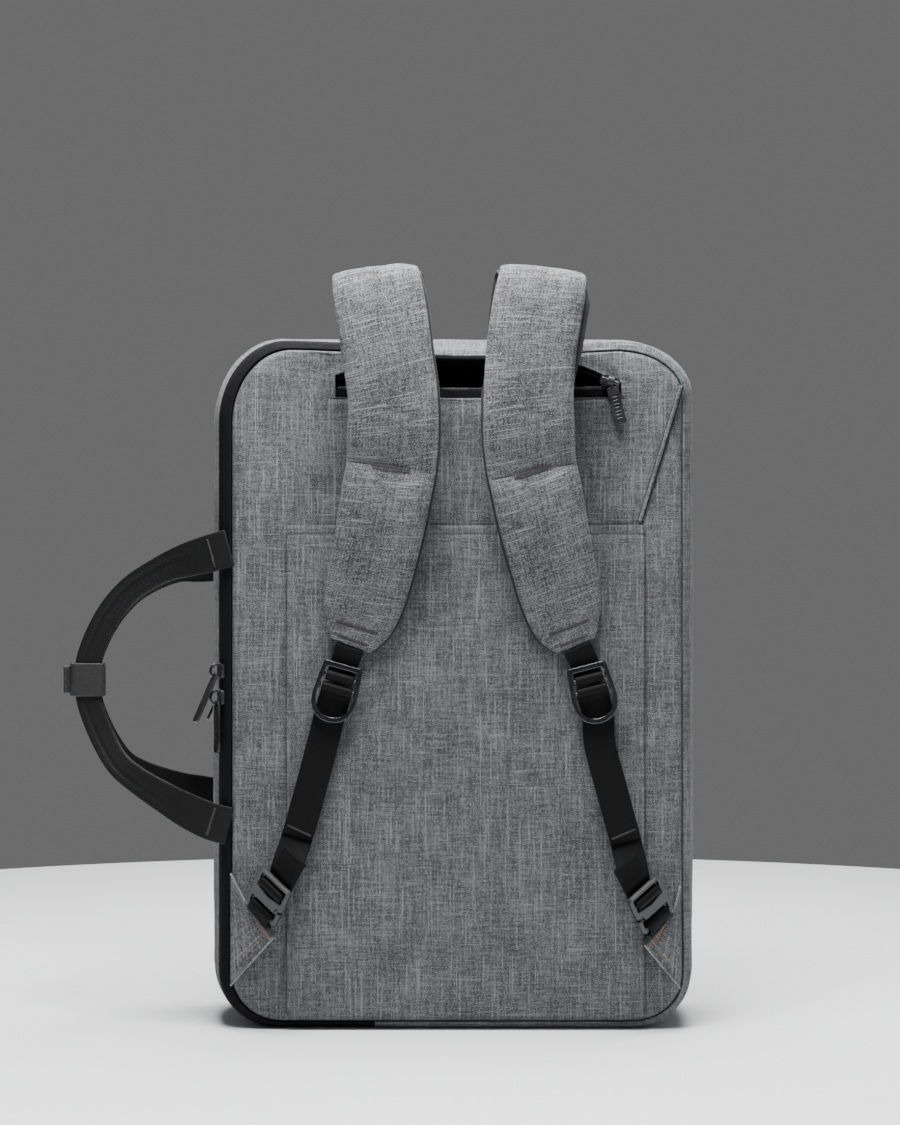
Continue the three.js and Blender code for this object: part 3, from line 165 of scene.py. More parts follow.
def patch(grid, cloth, round_rows=False, round_columns=False, ends=False):
    """A grid of points (rows, columns, 3) as quads. Rounded rows or columns join the last
    to the first, and ends closes the first and last row with a face each. cloth holds the
    UV of every point in millimetres, with one row or column more where it goes round. A
    closed patch is turned so that its faces point outwards, by the sign of its volume."""
    rows, columns = grid.shape[:2]
    r, c = np.meshgrid(
        np.arange(rows - (not round_rows)), np.arange(columns - (not round_columns)), indexing="ij"
    )
    r, c = r.ravel(), c.ravel()
    next_r, next_c = (r + 1) % rows, (c + 1) % columns
    corners = ((r, c), (r, next_c), (next_r, next_c), (next_r, c))
    faces = np.stack([row * columns + column for row, column in corners], 1)
    points = grid.reshape(-1, 3)
    map_at = np.stack([cloth[r, c], cloth[r, c + 1], cloth[r + 1, c + 1], cloth[r + 1, c]], 1)
    closed = (round_rows and round_columns) or (round_columns and ends)
    turn = False
    if closed:
        a, b, d, e = (points[faces[:, k]] for k in range(4))
        volume = np.sum(a * np.cross(b, d)) + np.sum(a * np.cross(d, e))
        if ends:
            for row, sign in ((grid[0], -1), (grid[-1], 1)):
                middle = row.mean(axis=0)
                volume += sign * np.sum(middle * np.cross(row, np.roll(row, -1, axis=0)))
        turn = volume < 0
    if turn:
        faces, map_at = faces[:, ::-1], map_at[:, ::-1]
    lids = []
    if ends:
        first = np.arange(columns)
        last = first + (rows - 1) * columns
        lids = [first[::-1], last] if not turn else [first, last[::-1]]
    return {"points": points, "faces": faces, "cloth": map_at, "lids": lids,
            "lid_map": cloth.reshape(-1, 2)[0]}


def to_scene(name, data):
    """A new object of the scene from a mesh, a lamp or a camera."""
    made = bpy.data.objects.new(name, data)
    bpy.context.scene.collection.objects.link(made)
    return made


def smooth_object(name, mesh, finish):
    """A smooth shaded object of the scene from a new mesh, in one material."""
    mesh.materials.append(finish)
    mesh.polygons.foreach_set("use_smooth", [True] * len(mesh.polygons))
    mesh.update()
    return to_scene(name, mesh)


def make_piece(name, patches, finish, replaces=()):
    """One smooth shaded piece from patches, in one material, riding on the bag."""
    points, faces, corners = [], [], []
    start = 0
    for part in patches:
        points.append(part["points"] * MM)
        faces.extend((part["faces"] + start).tolist())
        corners.append(part["cloth"].reshape(-1, 2))
        for lid in part["lids"]:
            faces.append((lid + start).tolist())
            corners.append(np.tile(part["lid_map"], (len(lid), 1)))
        start += len(part["points"])
    mesh = bpy.data.meshes.new(name)
    mesh.from_pydata(np.concatenate(points).tolist(), [], faces)
    uv = mesh.uv_layers.new(name=CLOTH_MAP)
    uv.data.foreach_set("uv", np.concatenate(corners).astype(np.float32).ravel())
    return dress(smooth_object(name, mesh, finish), replaces)


def merge_doubles(mesh, distance):
    """Joins points of a mesh that lie within a distance in millimetres, and turns its faces
    outwards."""
    work = bmesh.new()
    work.from_mesh(mesh)
    bmesh.ops.remove_doubles(work, verts=work.verts, dist=distance * MM)
    bmesh.ops.recalc_face_normals(work, faces=work.faces)
    work.to_mesh(mesh)
    work.free()


def dress(piece, replaces=(), body=BAG):
    """The frame's calls that every new piece needs: its body and what it replaces."""
    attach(piece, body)
    if replaces:
        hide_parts(*replaces)
    return piece


def sheet_wall(piece, thickness, offset=-1.0):
    """Gives an open sheet its wall, measured in millimetres."""
    wall = piece.modifiers.new("wall", "SOLIDIFY")
    wall.thickness = thickness * MM
    wall.offset = offset
    wall.use_even_offset = True
    return piece


class Wiring:
    """Shader nodes of one tree. A value given to a node is a socket to link or a constant."""

    def __init__(self, tree):
        self.tree = tree

    def plug(self, made, key, value):
        """Gives one input of a node its link or its constant."""
        if isinstance(value, bpy.types.NodeSocket):
            self.tree.links.new(value, made.inputs[key])
        else:
            made.inputs[key].default_value = value

    def node(self, kind, values=None, **settings):
        made = self.tree.nodes.new(kind)
        for key, value in settings.items():
            setattr(made, key, value)
        for key, value in (values or {}).items():
            self.plug(made, key, value)
        return made

    def sum(self, operation, *values):
        """A Math node's result."""
        return self.node("ShaderNodeMath", dict(enumerate(values)), operation=operation).outputs[0]

    def blend(self, share, first, second, kind="FLOAT"):
        """A Mix node's result, of numbers or of colours."""
        low, high, result = {"FLOAT": (2, 3, 0), "RGBA": (6, 7, 2)}[kind]
        made = self.node("ShaderNodeMix", {0: share, low: first, high: second},
                         data_type=kind, clamp_factor=True)
        return made.outputs[result]

    def tint(self, colour, shade):
        """A colour multiplied by another colour or by a value."""
        return self.node("ShaderNodeMix", {0: 1.0, 6: colour, 7: shade},
                         data_type="RGBA", blend_type="MULTIPLY").outputs[2]

    def span(self, value, low, high, to_low=0.0, to_high=1.0):
        """A clamped smooth Map Range."""
        made = self.node("ShaderNodeMapRange", {
            "Value": value, "From Min": low, "From Max": high, "To Min": to_low, "To Max": to_high,
        }, interpolation_type="SMOOTHSTEP")
        return made.outputs[0]

    def grain(self, vector, scale, detail=2.0, roughness=0.5):
        """A Noise Texture's value."""
        return self.node("ShaderNodeTexNoise", {
            "Vector": vector, "Scale": scale, "Detail": detail, "Roughness": roughness,
        }).outputs[0]

    def place(self, x, y, z=0.0):
        """A vector from three values."""
        return self.node("ShaderNodeCombineXYZ", {0: x, 1: y, 2: z}).outputs[0]

    def parts(self, vector):
        """The X and Y of a vector."""
        made = self.node("ShaderNodeSeparateXYZ", {0: vector})
        return made.outputs[0], made.outputs[1]


def effect(name, inputs, outputs, build):
    """A shader node group. inputs and outputs are (name, kind, start value) in order, and
    build(wiring, inputs) returns a dict from each output's name to its socket."""
    tree = bpy.data.node_groups.new(name, "ShaderNodeTree")
    socket_on = lambda side, label, kind: tree.interface.new_socket(
        name=label, in_out=side, socket_type="NodeSocket" + kind)
    for label, kind, start in inputs:
        socket = socket_on("INPUT", label, kind)
        if start is not None:
            socket.default_value = start
    for label, kind in outputs:
        socket_on("OUTPUT", label, kind)
    wiring = Wiring(tree)
    entry = wiring.node("NodeGroupInput")
    leave = wiring.node("NodeGroupOutput")
    for label, socket in build(wiring, {s.name: s for s in entry.outputs if s.name}).items():
        tree.links.new(socket, leave.inputs[label])
    return tree


def build_heather(w, i):
    """Plain weave of mixed yarns. Each crossing shows its warp or its weft thread, whose
    shade wanders slowly along the thread, so threads read as fine upright and level lines.
    Single crossings differ a little, light slubs run along some threads for 20 to 60 mm, and
    a slow mottling lies over it all. Height is a pillow on each crossing."""
    x, y = w.parts(i["Cloth"])
    a, b = w.sum("DIVIDE", x, i["Pitch"]), w.sum("DIVIDE", y, i["Pitch"])
    column, row = w.sum("FLOOR", a), w.sum("FLOOR", b)
    thread = lambda across, run, slow, seed: w.grain(
        w.place(w.sum("MULTIPLY", across, 3.71), w.sum("MULTIPLY", run, slow), seed), 1.0, 2.0)
    warp = w.blend(0.18, thread(column, y, 0.045, 0.0), thread(column, y, 0.6, 3.0))
    weft = w.blend(0.18, thread(row, x, 0.06, 17.0), thread(row, x, 0.6, 23.0))
    over = w.sum("FLOORED_MODULO", w.sum("ADD", column, row), 2.0)
    speck = w.node("ShaderNodeTexWhiteNoise", {"Vector": w.place(column, row)},
                   noise_dimensions="3D").outputs[0]
    mottle = w.grain(i["Cloth"], 0.03, 3.0)
    tone = w.blend(over, warp, weft)
    tone = w.sum("MULTIPLY_ADD", w.sum("SUBTRACT", tone, 0.5), 2.0, 0.44)
    tone = w.sum("MULTIPLY_ADD", w.sum("SUBTRACT", speck, 0.5), i["Speckle"], tone)
    tone = w.sum("MULTIPLY_ADD", w.sum("SUBTRACT", mottle, 0.5), i["Mottle"], tone)
    slub_along = w.span(thread(column, y, 0.019, 5.0), 0.56, 0.70)
    slub_across = w.span(thread(row, x, 0.030, 9.0), 0.58, 0.72)
    slub = w.sum("MAXIMUM", w.sum("MULTIPLY", slub_along, i["Slubs Along"]),
                 w.sum("MULTIPLY", slub_across, i["Slubs Across"]))
    slub = w.sum("MULTIPLY", slub, w.sum("MULTIPLY_ADD", speck, 0.5, 0.6))
    tone = w.sum("MULTIPLY_ADD", slub, 0.55, tone)
    colour = w.blend(w.span(tone, 0.0, 1.1), i["Dark Yarn"], i["Light Yarn"], "RGBA")
    tinge = w.span(w.grain(i["Cloth"], 0.9, 1.0), 0.35, 0.65)
    cool_or_warm = w.blend(tinge, (0.95, 0.985, 1.05, 1), (1.035, 1.0, 0.965, 1), "RGBA")
    colour = w.tint(colour, cool_or_warm)
    bulge = lambda t: w.sum("SINE", w.sum("MULTIPLY", w.sum("FRACT", t), math.pi))
    pillow = w.blend(over, bulge(a), bulge(b))
    height = w.sum("MULTIPLY_ADD", slub, 0.6, w.sum("MULTIPLY_ADD", tone, 0.5, pillow))
    return {"Color": colour, "Height": height}


HEATHER = effect("heather weave", [
    ("Cloth", "Vector", None), ("Pitch", "Float", 0.75),
    ("Dark Yarn", "Color", (0.05, 0.05, 0.055, 1)), ("Light Yarn", "Color", (0.3, 0.3, 0.31, 1)),
    ("Speckle", "Float", 0.5), ("Mottle", "Float", 0.4),
    ("Slubs Along", "Float", 0.6), ("Slubs Across", "Float", 0.6),
], [("Color", "Color"), ("Height", "Float")], build_heather)


def build_ribs(w, i):
    """Narrow webbing: cords side by side along the length, each beaded by the crossing
    threads, with neighbours half a bead apart. Mask is the valley between two cords, where
    webbing_finish paints shade."""
    x, y = w.parts(i["Cloth"])
    a = w.sum("DIVIDE", x, i["Pitch"])
    cord = w.sum("SINE", w.sum("MULTIPLY", w.sum("FRACT", a), math.pi))
    stagger = w.sum("MULTIPLY", w.sum("FLOOR", a), 0.5)
    bead = w.sum("SINE", w.sum("MULTIPLY", w.sum("ADD", w.sum("DIVIDE", y, i["Bead"]), stagger),
                               2 * math.pi))
    height = w.sum("MULTIPLY_ADD", bead, 0.28, cord)
    fluff = w.grain(i["Cloth"], 1.3, 3.0)
    height = w.sum("MULTIPLY_ADD", fluff, 0.35, height)
    return {"Height": height, "Mask": w.span(cord, 0.55, 0.15)}


RIBS = effect("webbing ribs", [
    ("Cloth", "Vector", None), ("Pitch", "Float", 1.3), ("Bead", "Float", 1.7),
], [("Height", "Float"), ("Mask", "Float")], build_ribs)


def build_speckle(w, i):
    """Fine moulded or cast texture on Object coordinates, with rubbed patches as Mask."""
    fine = w.grain(i["Point"], 2600.0, 3.0)
    broad = w.grain(i["Point"], 130.0, 3.0)
    return {"Height": fine, "Mask": w.span(broad, 0.42, 0.68)}


SPECKLE = effect("moulded speckle", [("Point", "Vector", None)],
                 [("Height", "Float"), ("Mask", "Float")], build_speckle)


def new_finish(name, shine):
    """A material with its Principled shader. shine holds constants for the shader's sockets."""
    finish = bpy.data.materials.new(name)
    finish.use_nodes = True
    shader = finish.node_tree.nodes["Principled BSDF"]
    for socket, value in shine.items():
        shader.inputs[socket].default_value = value
    return finish, Wiring(finish.node_tree), shader


def cloth_point(w):
    """The piece's own cloth map, in millimetres across and along."""
    return w.node("ShaderNodeUVMap", uv_map=CLOTH_MAP).outputs[0]


def set_relief(w, shader, height, strength, distance):
    """A height becomes the shader's Normal through a Bump node. distance is how many
    millimetres high a height of 1 stands."""
    bump = w.node("ShaderNodeBump", {
        "Strength": strength, "Distance": distance * MM, "Height": height,
    })
    w.plug(shader, "Normal", bump.outputs[0])


def heather_finish(name, dark, light, pitch=0.66, speckle=0.45, slubs=(1.0, 0.6), lean=0.0):
    """Grey mixed-yarn cloth. slubs are the strengths along and across, and lean slants the
    crossing threads by that share of the width."""
    finish, w, shader = new_finish(name, {
        "Roughness": 0.9, "Sheen Weight": 0.08, "Sheen Roughness": 0.45, "Specular IOR Level": 0.2,
    })
    point = cloth_point(w)
    if lean:
        x, y = w.parts(point)
        point = w.place(x, w.sum("MULTIPLY_ADD", x, lean, y))
    weave = w.node("ShaderNodeGroup", {
        "Cloth": point, "Pitch": pitch, "Dark Yarn": (*dark, 1), "Light Yarn": (*light, 1),
        "Speckle": speckle, "Slubs Along": slubs[0], "Slubs Across": slubs[1],
    }, node_tree=HEATHER)
    w.plug(shader, "Base Color", weave.outputs["Color"])
    set_relief(w, shader, weave.outputs["Height"], 0.55, 0.16)
    return finish


def webbing_finish(name, base, valley_shade, pitch, bead, depth, shine):
    """Black ribbed webbing: cords catch a soft light, and the valleys are painted darker as shade."""
    finish, w, shader = new_finish(name, {
        "Sheen Weight": 0.015, "Sheen Roughness": 0.4, "Specular IOR Level": shine,
    })
    point = cloth_point(w)
    ribs = w.node("ShaderNodeGroup", {"Cloth": point, "Pitch": pitch, "Bead": bead}, node_tree=RIBS)
    shade = w.blend(w.grain(point, 0.25, 3.0), 0.8, 1.25)
    # the valley colour is painted shade between the cords
    colour = w.blend(ribs.outputs["Mask"], (*base, 1), (*valley_shade, 1), "RGBA")
    w.plug(shader, "Base Color", w.tint(colour, shade))
    w.plug(shader, "Roughness", w.blend(ribs.outputs["Mask"], 0.55, 0.85))
    set_relief(w, shader, ribs.outputs["Height"], 0.8, depth)
    return finish


def hard_finish(name, base, rubbed, roughness, shine, depth=0.03):
    """Moulded plastic or coated metal: fine speckle, and duller paler patches where rubbed."""
    finish, w, shader = new_finish(name, shine)
    point = w.node("ShaderNodeTexCoord").outputs["Object"]
    grain = w.node("ShaderNodeGroup", {"Point": point}, node_tree=SPECKLE)
    colour = w.blend(grain.outputs["Mask"], (*base, 1), (*rubbed, 1), "RGBA")
    w.plug(shader, "Base Color", colour)
    w.plug(shader, "Roughness", w.blend(grain.outputs["Mask"], *roughness))
    set_relief(w, shader, grain.outputs["Height"], 0.5, depth)
    return finish


TWILL_PITCH = 0.9


def flat_finish(name, base, roughness, height=0.12):
    """Plain dark cloth or tape with a fine slanted twill."""
    finish, w, shader = new_finish(name, {"Specular IOR Level": 0.06})
    point = cloth_point(w)
    x, y = w.parts(point)
    twill = w.sum("SINE", w.sum("MULTIPLY", w.sum("ADD", x, y), 2 * math.pi / TWILL_PITCH))
    weft = w.sum("SINE", w.sum("MULTIPLY", y, 2 * math.pi / TWILL_PITCH * 1.7))
    fluffy = w.sum("MULTIPLY_ADD", w.grain(point, 0.5, 3.0), 1.2, twill)
    relief = w.sum("MULTIPLY_ADD", weft, 0.4, fluffy)
    shade = w.blend(w.grain(point, 0.12, 3.0), (*[v * 0.8 for v in base], 1),
                    (*[v * 1.3 for v in base], 1), "RGBA")
    w.plug(shader, "Base Color", shade)
    w.plug(shader, "Roughness", w.span(w.grain(point, 0.3, 2.0), 0.3, 0.7, *roughness))
    set_relief(w, shader, relief, 0.5, height)
    return finish


def mesh_finish(name, base, hole_shade):
    """Open spacer mesh: rows of small round holes, staggered by half, in a knitted ground.
    The holes are painted darker than the ground, as the shade inside them.
    """
    finish, w, shader = new_finish(name, {"Roughness": 0.85, "Sheen Weight": 0.1})
    point = cloth_point(w)
    x, y = w.parts(point)
    row = w.sum("DIVIDE", y, 1.5)
    shift = w.sum("MULTIPLY", w.sum("FLOORED_MODULO", w.sum("FLOOR", row), 2.0), 0.5)
    a = w.sum("SUBTRACT", w.sum("FRACT", w.sum("ADD", w.sum("DIVIDE", x, 1.9), shift)), 0.5)
    b = w.sum("SUBTRACT", w.sum("FRACT", row), 0.5)
    reach = w.sum("SQRT", w.sum("ADD", w.sum("MULTIPLY", a, a), w.sum("MULTIPLY", b, b)))
    ground = w.span(reach, 0.18, 0.32)
    # the holes' colour is painted shade
    w.plug(shader, "Base Color", w.blend(ground, (*hole_shade, 1), (*base, 1), "RGBA"))
    set_relief(w, shader, ground, 0.8, 0.35)
    return finish


def leather_finish(name, base):
    """Soft coated wrap: upright creases and fine pores, with lighter crests as a painted sheen."""
    finish, w, shader = new_finish(name, {"Specular IOR Level": 0.45, "Coat Roughness": 0.4})
    point = cloth_point(w)
    x, y = w.parts(point)
    crease = w.grain(w.place(w.sum("MULTIPLY", x, 0.55), w.sum("MULTIPLY", y, 0.06)), 1.0, 4.0, 0.6)
    pores = w.node("ShaderNodeTexVoronoi", {"Vector": point, "Scale": 1.6}).outputs[0]
    crest_sheen = w.span(crease, 0.48, 0.7)
    # crests painted lighter than the base: a painted sheen along the upright creases
    colour = w.blend(crest_sheen, (*base, 1), (*[v * 2.3 for v in base], 1), "RGBA")
    w.plug(shader, "Base Color", colour)
    w.plug(shader, "Roughness", w.blend(crest_sheen, 0.62, 0.42))
    set_relief(w, shader, w.sum("MULTIPLY_ADD", pores, 0.25, crease), 0.7, 0.5)
    return finish


def thread_finish(name, base):
    """Twisted sewing thread: its shade wavers a little from stitch to stitch."""
    finish, w, shader = new_finish(name, {"Roughness": 0.7, "Sheen Weight": 0.2})
    point = w.node("ShaderNodeTexCoord").outputs["Object"]
    shade = w.blend(w.grain(point, 420.0, 2.0), (*[v * 0.65 for v in base], 1),
                    (*[v * 1.35 for v in base], 1), "RGBA")
    w.plug(shader, "Base Color", shade)
    return finish


BODY_CLOTH = heather_finish("body cloth", (0.026, 0.027, 0.029), (0.158, 0.160, 0.164))
# paler than the body cloth: a painted highlight on the wings' folded edges
FOLD_HIGHLIGHT_CLOTH = heather_finish("folded cloth edge", (0.070, 0.071, 0.074), (0.290, 0.292, 0.298))
STRAP_CLOTH = heather_finish("strap cloth", (0.016, 0.017, 0.018), (0.200, 0.202, 0.207),
                             pitch=0.5, speckle=0.62, slubs=(0.1, 1.5), lean=0.12)
STRAP_MESH = mesh_finish("strap mesh", (0.008, 0.008, 0.009), (0.002, 0.002, 0.002))
LINING_CLOTH = flat_finish("lining cloth", (0.006, 0.006, 0.007), (0.7, 0.9))
WEBBING = webbing_finish("webbing", (0.0028, 0.0028, 0.0031), (0.0015, 0.0015, 0.0017),
                         pitch=1.0, bead=1.4, depth=0.1, shine=0.1)
HANDLE_WEBBING = webbing_finish("handle webbing", (0.0038, 0.0038, 0.0042), (0.002, 0.002, 0.0023),
                                pitch=0.95, bead=1.5, depth=0.09, shine=0.2)
ZIP_TAPE = flat_finish("zip tape", (0.0055, 0.0055, 0.006), (0.88, 0.97), height=0.05)
COIL = hard_finish("zip coil", (0.02, 0.02, 0.022), (0.045, 0.045, 0.05), (0.25, 0.4), {})
LOCK_PLASTIC = hard_finish("adjuster plastic", (0.005, 0.005, 0.006), (0.007, 0.007, 0.008),
                           (0.2, 0.26), {"Specular IOR Level": 0.6}, depth=0.008)
HOOK_PLASTIC = hard_finish("hook plastic", (0.015, 0.015, 0.016), (0.027, 0.027, 0.029),
                           (0.42, 0.56), {"Specular IOR Level": 0.5}, depth=0.05)
SLIDER_METAL = hard_finish("slider metal", (0.018, 0.018, 0.020), (0.038, 0.038, 0.041),
                           (0.32, 0.44), {"Metallic": 0.35})
SIDE_METAL = hard_finish("dark slider metal", (0.006, 0.006, 0.007), (0.016, 0.016, 0.018),
                         (0.22, 0.34), {"Metallic": 0.35, "Specular IOR Level": 0.6})
# near-black cloth laid in the welt's groove: painted shade
SEAM_SHADE = flat_finish("seam cloth", (0.010, 0.010, 0.011), (0.8, 0.9))
WRAP_LEATHER = leather_finish("wrap leather", (0.0055, 0.0055, 0.006))
GREY_THREAD = thread_finish("grey thread", (0.045, 0.045, 0.048))
BLACK_THREAD = thread_finish("black thread", (0.006, 0.006, 0.0065))
RUST_THREAD = thread_finish("rust thread", (0.21, 0.125, 0.085))
MAROON_THREAD = thread_finish("maroon thread", (0.010, 0.0042, 0.0044))


def outline(inset, lift, inward=0.0):
    """The body's outline in X and Z at one depth, as in the CAD: straight sides between
    quarter ellipses that open by CORNER_GROWTH towards the widest line. It starts on the
    top where the zips end and runs to the left, FINE points to each step of the CAD's."""
    left = -BODY_WIDTH / 2 + inset * INSET_LEFT + inward
    right = BODY_WIDTH / 2 - inset * INSET_RIGHT - inward
    top = BODY_HEIGHT - inset * INSET_TOP - inward
    bottom = lift * INSET_BOTTOM + inward
    tl, tr, low = (
        np.array(corner) + (1 - inset) * CORNER_GROWTH - inward
        for corner in (CORNER_TOP_LEFT, CORNER_TOP_RIGHT, CORNER_BOTTOM)
    )

    def straight(start, end, steps):
        t = np.arange(steps * FINE)[:, None] / (steps * FINE)
        return np.array(start) + (np.array(end) - start) * t

    def arc(cx, cz, radii, start, steps):
        angle = np.radians(start + 90 * np.arange(steps * FINE) / (steps * FINE))
        return np.stack([cx + radii[0] * np.cos(angle), cz + radii[1] * np.sin(angle)], 1)

    s = OUTLINE_STEPS
    return np.concatenate([
        straight((ZIP_END_TOP, top), (left + tl[0], top), s[0]),
        arc(left + tl[0], top - tl[1], tl, 90, s[1]),
        straight((left, top - tl[1]), (left, bottom + low[1]), s[2]),
        arc(left + low[0], bottom + low[1], low, 180, s[3]),
        straight((left + low[0], bottom), (ZIP_END_BOTTOM, bottom), s[4]),
        straight((ZIP_END_BOTTOM, bottom), (right - low[0], bottom), s[5]),
        arc(right - low[0], bottom + low[1], low, 270, s[6]),
        straight((right, bottom + low[1]), (right, top - tr[1]), s[7]),
        arc(right - tr[0], top - tr[1], tr, 0, s[8]),
        straight((right - tr[0], top), (ZIP_END_TOP, top), s[9]),
    ])


ZIPPED = sum(OUTLINE_STEPS[:ZIPPED_STRETCHES]) * FINE


def pressed(p):
    """The dent of the straps in the top of the back, as in the CAD: points lean back and
    drop by a share that is a bell along the width, and ramps upwards and to the near side."""
    u = np.clip((p[..., 0] - DENT_CENTRE) / DENT_HALF_WIDTH, -1, 1)
    high = ramp((p[..., 2] - DENT_LEVEL) / (BODY_HEIGHT - DENT_LEVEL))
    near = ramp(-p[..., 1] / (BODY_DEPTH / 2) + 0.15)
    share = 0.5 * (1 + np.cos(np.pi * u)) * high * near
    return p + share[..., None] * DENT_PUSH


def shoulder_rows(start, end, steps):
    """Rows of the section between two CAD rows, with steps to each, in a straight blend."""
    t = np.linspace(start, end, (end - start) * steps + 1)
    low = np.minimum(t.astype(int), len(SHOULDER_ROWS) - 2)
    share = (t - low)[:, None]
    return SHOULDER_ROWS[low] * (1 - share) + SHOULDER_ROWS[low + 1] * share


def section_ring(row, face, inward=0.0):
    """The outline at one row of the section on the back (-1) or front (1) half, set inwards
    along its lean, before the straps press it."""
    lean = math.radians(row[3])
    ring = outline(row[1], row[2], inward * math.cos(lean))
    y = face * (row[0] * BODY_DEPTH / 2 - inward * math.sin(lean))
    return np.stack([ring[:, 0], np.full(len(ring), y), ring[:, 1]], 1)


def outwards(ring):
    """Unit vectors in the X and Z plane that point out of a closed ring."""
    run = np.roll(ring, -1, axis=0) - np.roll(ring, 1, axis=0)
    side = unit(np.stack([-run[:, 2], np.zeros(len(run)), run[:, 0]], 1))
    return side if np.sum(side * (ring - ring.mean(axis=0))) >= 0 else -side


def gusset_swell(ring, share):
    """How far the side wall's cloth stands proud of the CAD's, in millimetres: a soft sag
    with long creases, most in the middle of the depth, none at the base and at the seams."""
    x, y, z = ring[:, 0], ring[:, 1], ring[:, 2]
    run = along(ring)
    belly = 1 - (share / 0.76) ** 2
    loose = 1.1 * ripple(run, y, 92, 3) + 0.5 * ripple(run, y * 1.6, 31, 4)
    lean = (run + 0.9 * y) / 47
    crease = -1.5 * np.maximum(np.sin(2 * np.pi * lean + ripple(run, y, 150, 6)), 0.72) + 1.1
    off_floor = ramp((z - 6) / 30)
    right_corner = ramp((x - 96) / 40) * ramp((z - 380) / 40)
    left_corner = ramp((-x - 100) / 40) * ramp((z - 375) / 45)
    corner = right_corner + left_corner
    return off_floor * np.clip(belly, 0, 1) * (0.55 * loose + crease * (0.35 + 1.3 * corner))


def corner_pinch(ring):
    """1 on the top right corner where the side wall and the piping are drawn together."""
    x, z = ring[:, 0], ring[:, 2]
    return ramp((x - 72) / 22) * ramp((140 - x) / 24) * ramp((z - 418) / 8)


def make_gusset():
    """The side wall: rings of the outline from seam to seam, moved out by gusset_swell, and
    an inner skin one wall inwards. The two seams are turned in by a small roll."""
    rows = shoulder_rows(0, SIDE_ROW_COUNT - 1, 7)
    signed = [(row, -1) for row in rows[::-1]] + [(row, 1) for row in rows[1:]]
    outer, inner = [], []
    for row, face in signed:
        ring = section_ring(row, face)
        seam = ramp((row[0] - 0.66) / 0.08)
        lift = gusset_swell(ring, row[0]) * (1 - seam) - seam * (0.5 + 1.5 * corner_pinch(ring))
        outer.append(pressed(ring + outwards(ring) * lift[:, None]))
        inner.append(pressed(section_ring(row, face, GUSSET_WALL)))
    rings = np.stack(outer + inner[::-1][::4])
    run = along(np.append(rings[0], rings[0][:1], axis=0))
    depth = along(rings[: len(outer), :1])[:, 0]
    depth = np.concatenate([depth, np.zeros(len(rings) - len(outer) + 1)])
    cloth = np.stack(np.meshgrid(run, depth), -1)
    wall = patch(rings, cloth, round_rows=True, round_columns=True)
    return make_piece("gusset_cloth", [wall], BODY_CLOTH, ["gusset"])


def make_strip(name, face, zipped, finish, node):
    """A closed strip on the shoulder: its section bulges a little between the two seams.
    On the zip the bulge is a flat band, on the piping it is a round roll that puckers. The
    strip starts close to the side wall in place and in depth."""
    rows = shoulder_rows(SIDE_ROW_COUNT, len(SHOULDER_ROWS) - 1, 6)
    wall_row, strip_row = SHOULDER_ROWS[SIDE_ROW_COUNT - 1:SIDE_ROW_COUNT + 1, :2]
    rows[0, :2] = wall_row * (1 - SEAM_LEFT_OPEN) + strip_row * SEAM_LEFT_OPEN
    count = sum(OUTLINE_STEPS) * FINE
    columns = np.arange(ZIPPED + 1) if zipped else np.arange(ZIPPED, count + 1)
    outer, inner = [], []
    for k, row in enumerate(rows):
        t = k / (len(rows) - 1)
        rise = 0.5 * hump(t) ** 0.35 if zipped else 0.15 + 1.1 * hump(t) ** 0.6
        ring = section_ring(row, face, -rise)
        if not zipped:
            pinch = corner_pinch(ring) * (1.5 * hump(t) - 1.9 * math.exp(-(t / 0.3) ** 2))
            pucker = 0.12 * ripple(along(ring), ring[:, 1] * 0, 17, 21) + pinch
            ring = ring + outwards(ring) * pucker[:, None]
        outer.append(pressed(ring)[columns % count])
        inner.append(pressed(section_ring(row, face, STRIP_WALL))[columns % count])
    rings = np.stack(outer + inner[::-1]).transpose(1, 0, 2)
    for end, nearest in ((0, 1), (-1, -2)):
        rings[end] += unit(rings[nearest][:1] - rings[end][:1]) * GAP / 2
    run = along(rings[:, :1])[:, 0]
    across = along(rings[:1].transpose(1, 0, 2))[:, 0]
    cloth = np.stack(np.meshgrid(np.append(across, across[-1] + 2), run), -1)
    strip = patch(rings, cloth, round_columns=True, ends=True)
    return make_piece(name, [strip], finish, [node])


def bezier(a, b, c, d, count):
    """count points on a cubic curve from a towards d, without d."""
    t = np.arange(count)[:, None] / count
    a, b, c, d = (np.array(p, float) for p in (a, b, c, d))
    return a * (1 - t) ** 3 + 3 * b * t * (1 - t) ** 2 + 3 * c * t * t * (1 - t) + d * t ** 3


MOUTH_STEPS = 60


def slot_mouth(inward=0.0):
    """The slot's mouth in X and Z, as in the CAD: a straight floor, upright ends and an
    arched top, as one closed loop that starts at the lower left corner. Also gives the
    number of the point where the arched top begins."""
    left, right = SLOT_LEFT + inward, SLOT_RIGHT - inward
    floor, peak = SLOT_FLOOR + inward, SLOT_FLOOR + SLOT_PEAK - inward
    end = SLOT_FLOOR + SLOT_END_RISE - inward
    span = right - left
    shoulder = (right, end - 0.35 * SLOT_END_RISE)
    line = lambda a, b, n: np.array(a) + (np.array(b) - a) * (np.arange(n)[:, None] / n)
    low = np.concatenate([line((left, floor), (right, floor), 2 * MOUTH_STEPS),
                          line((right, floor), shoulder, MOUTH_STEPS // 3)])
    top = np.concatenate([
        bezier(shoulder, (right - 0.08 * span, end), (right - 0.16 * span, peak),
               (right - 0.3 * span, peak), MOUTH_STEPS),
        line((right - 0.3 * span, peak), (left + 0.22 * span, peak), MOUTH_STEPS),
        bezier((left + 0.22 * span, peak), (left + 0.1 * span, peak),
               (left + 0.04 * span, end + 0.3), (left, end), MOUTH_STEPS),
    ])
    side = line((left, end), (left, floor), MOUTH_STEPS // 3)
    return np.concatenate([low, top, side]), len(low)


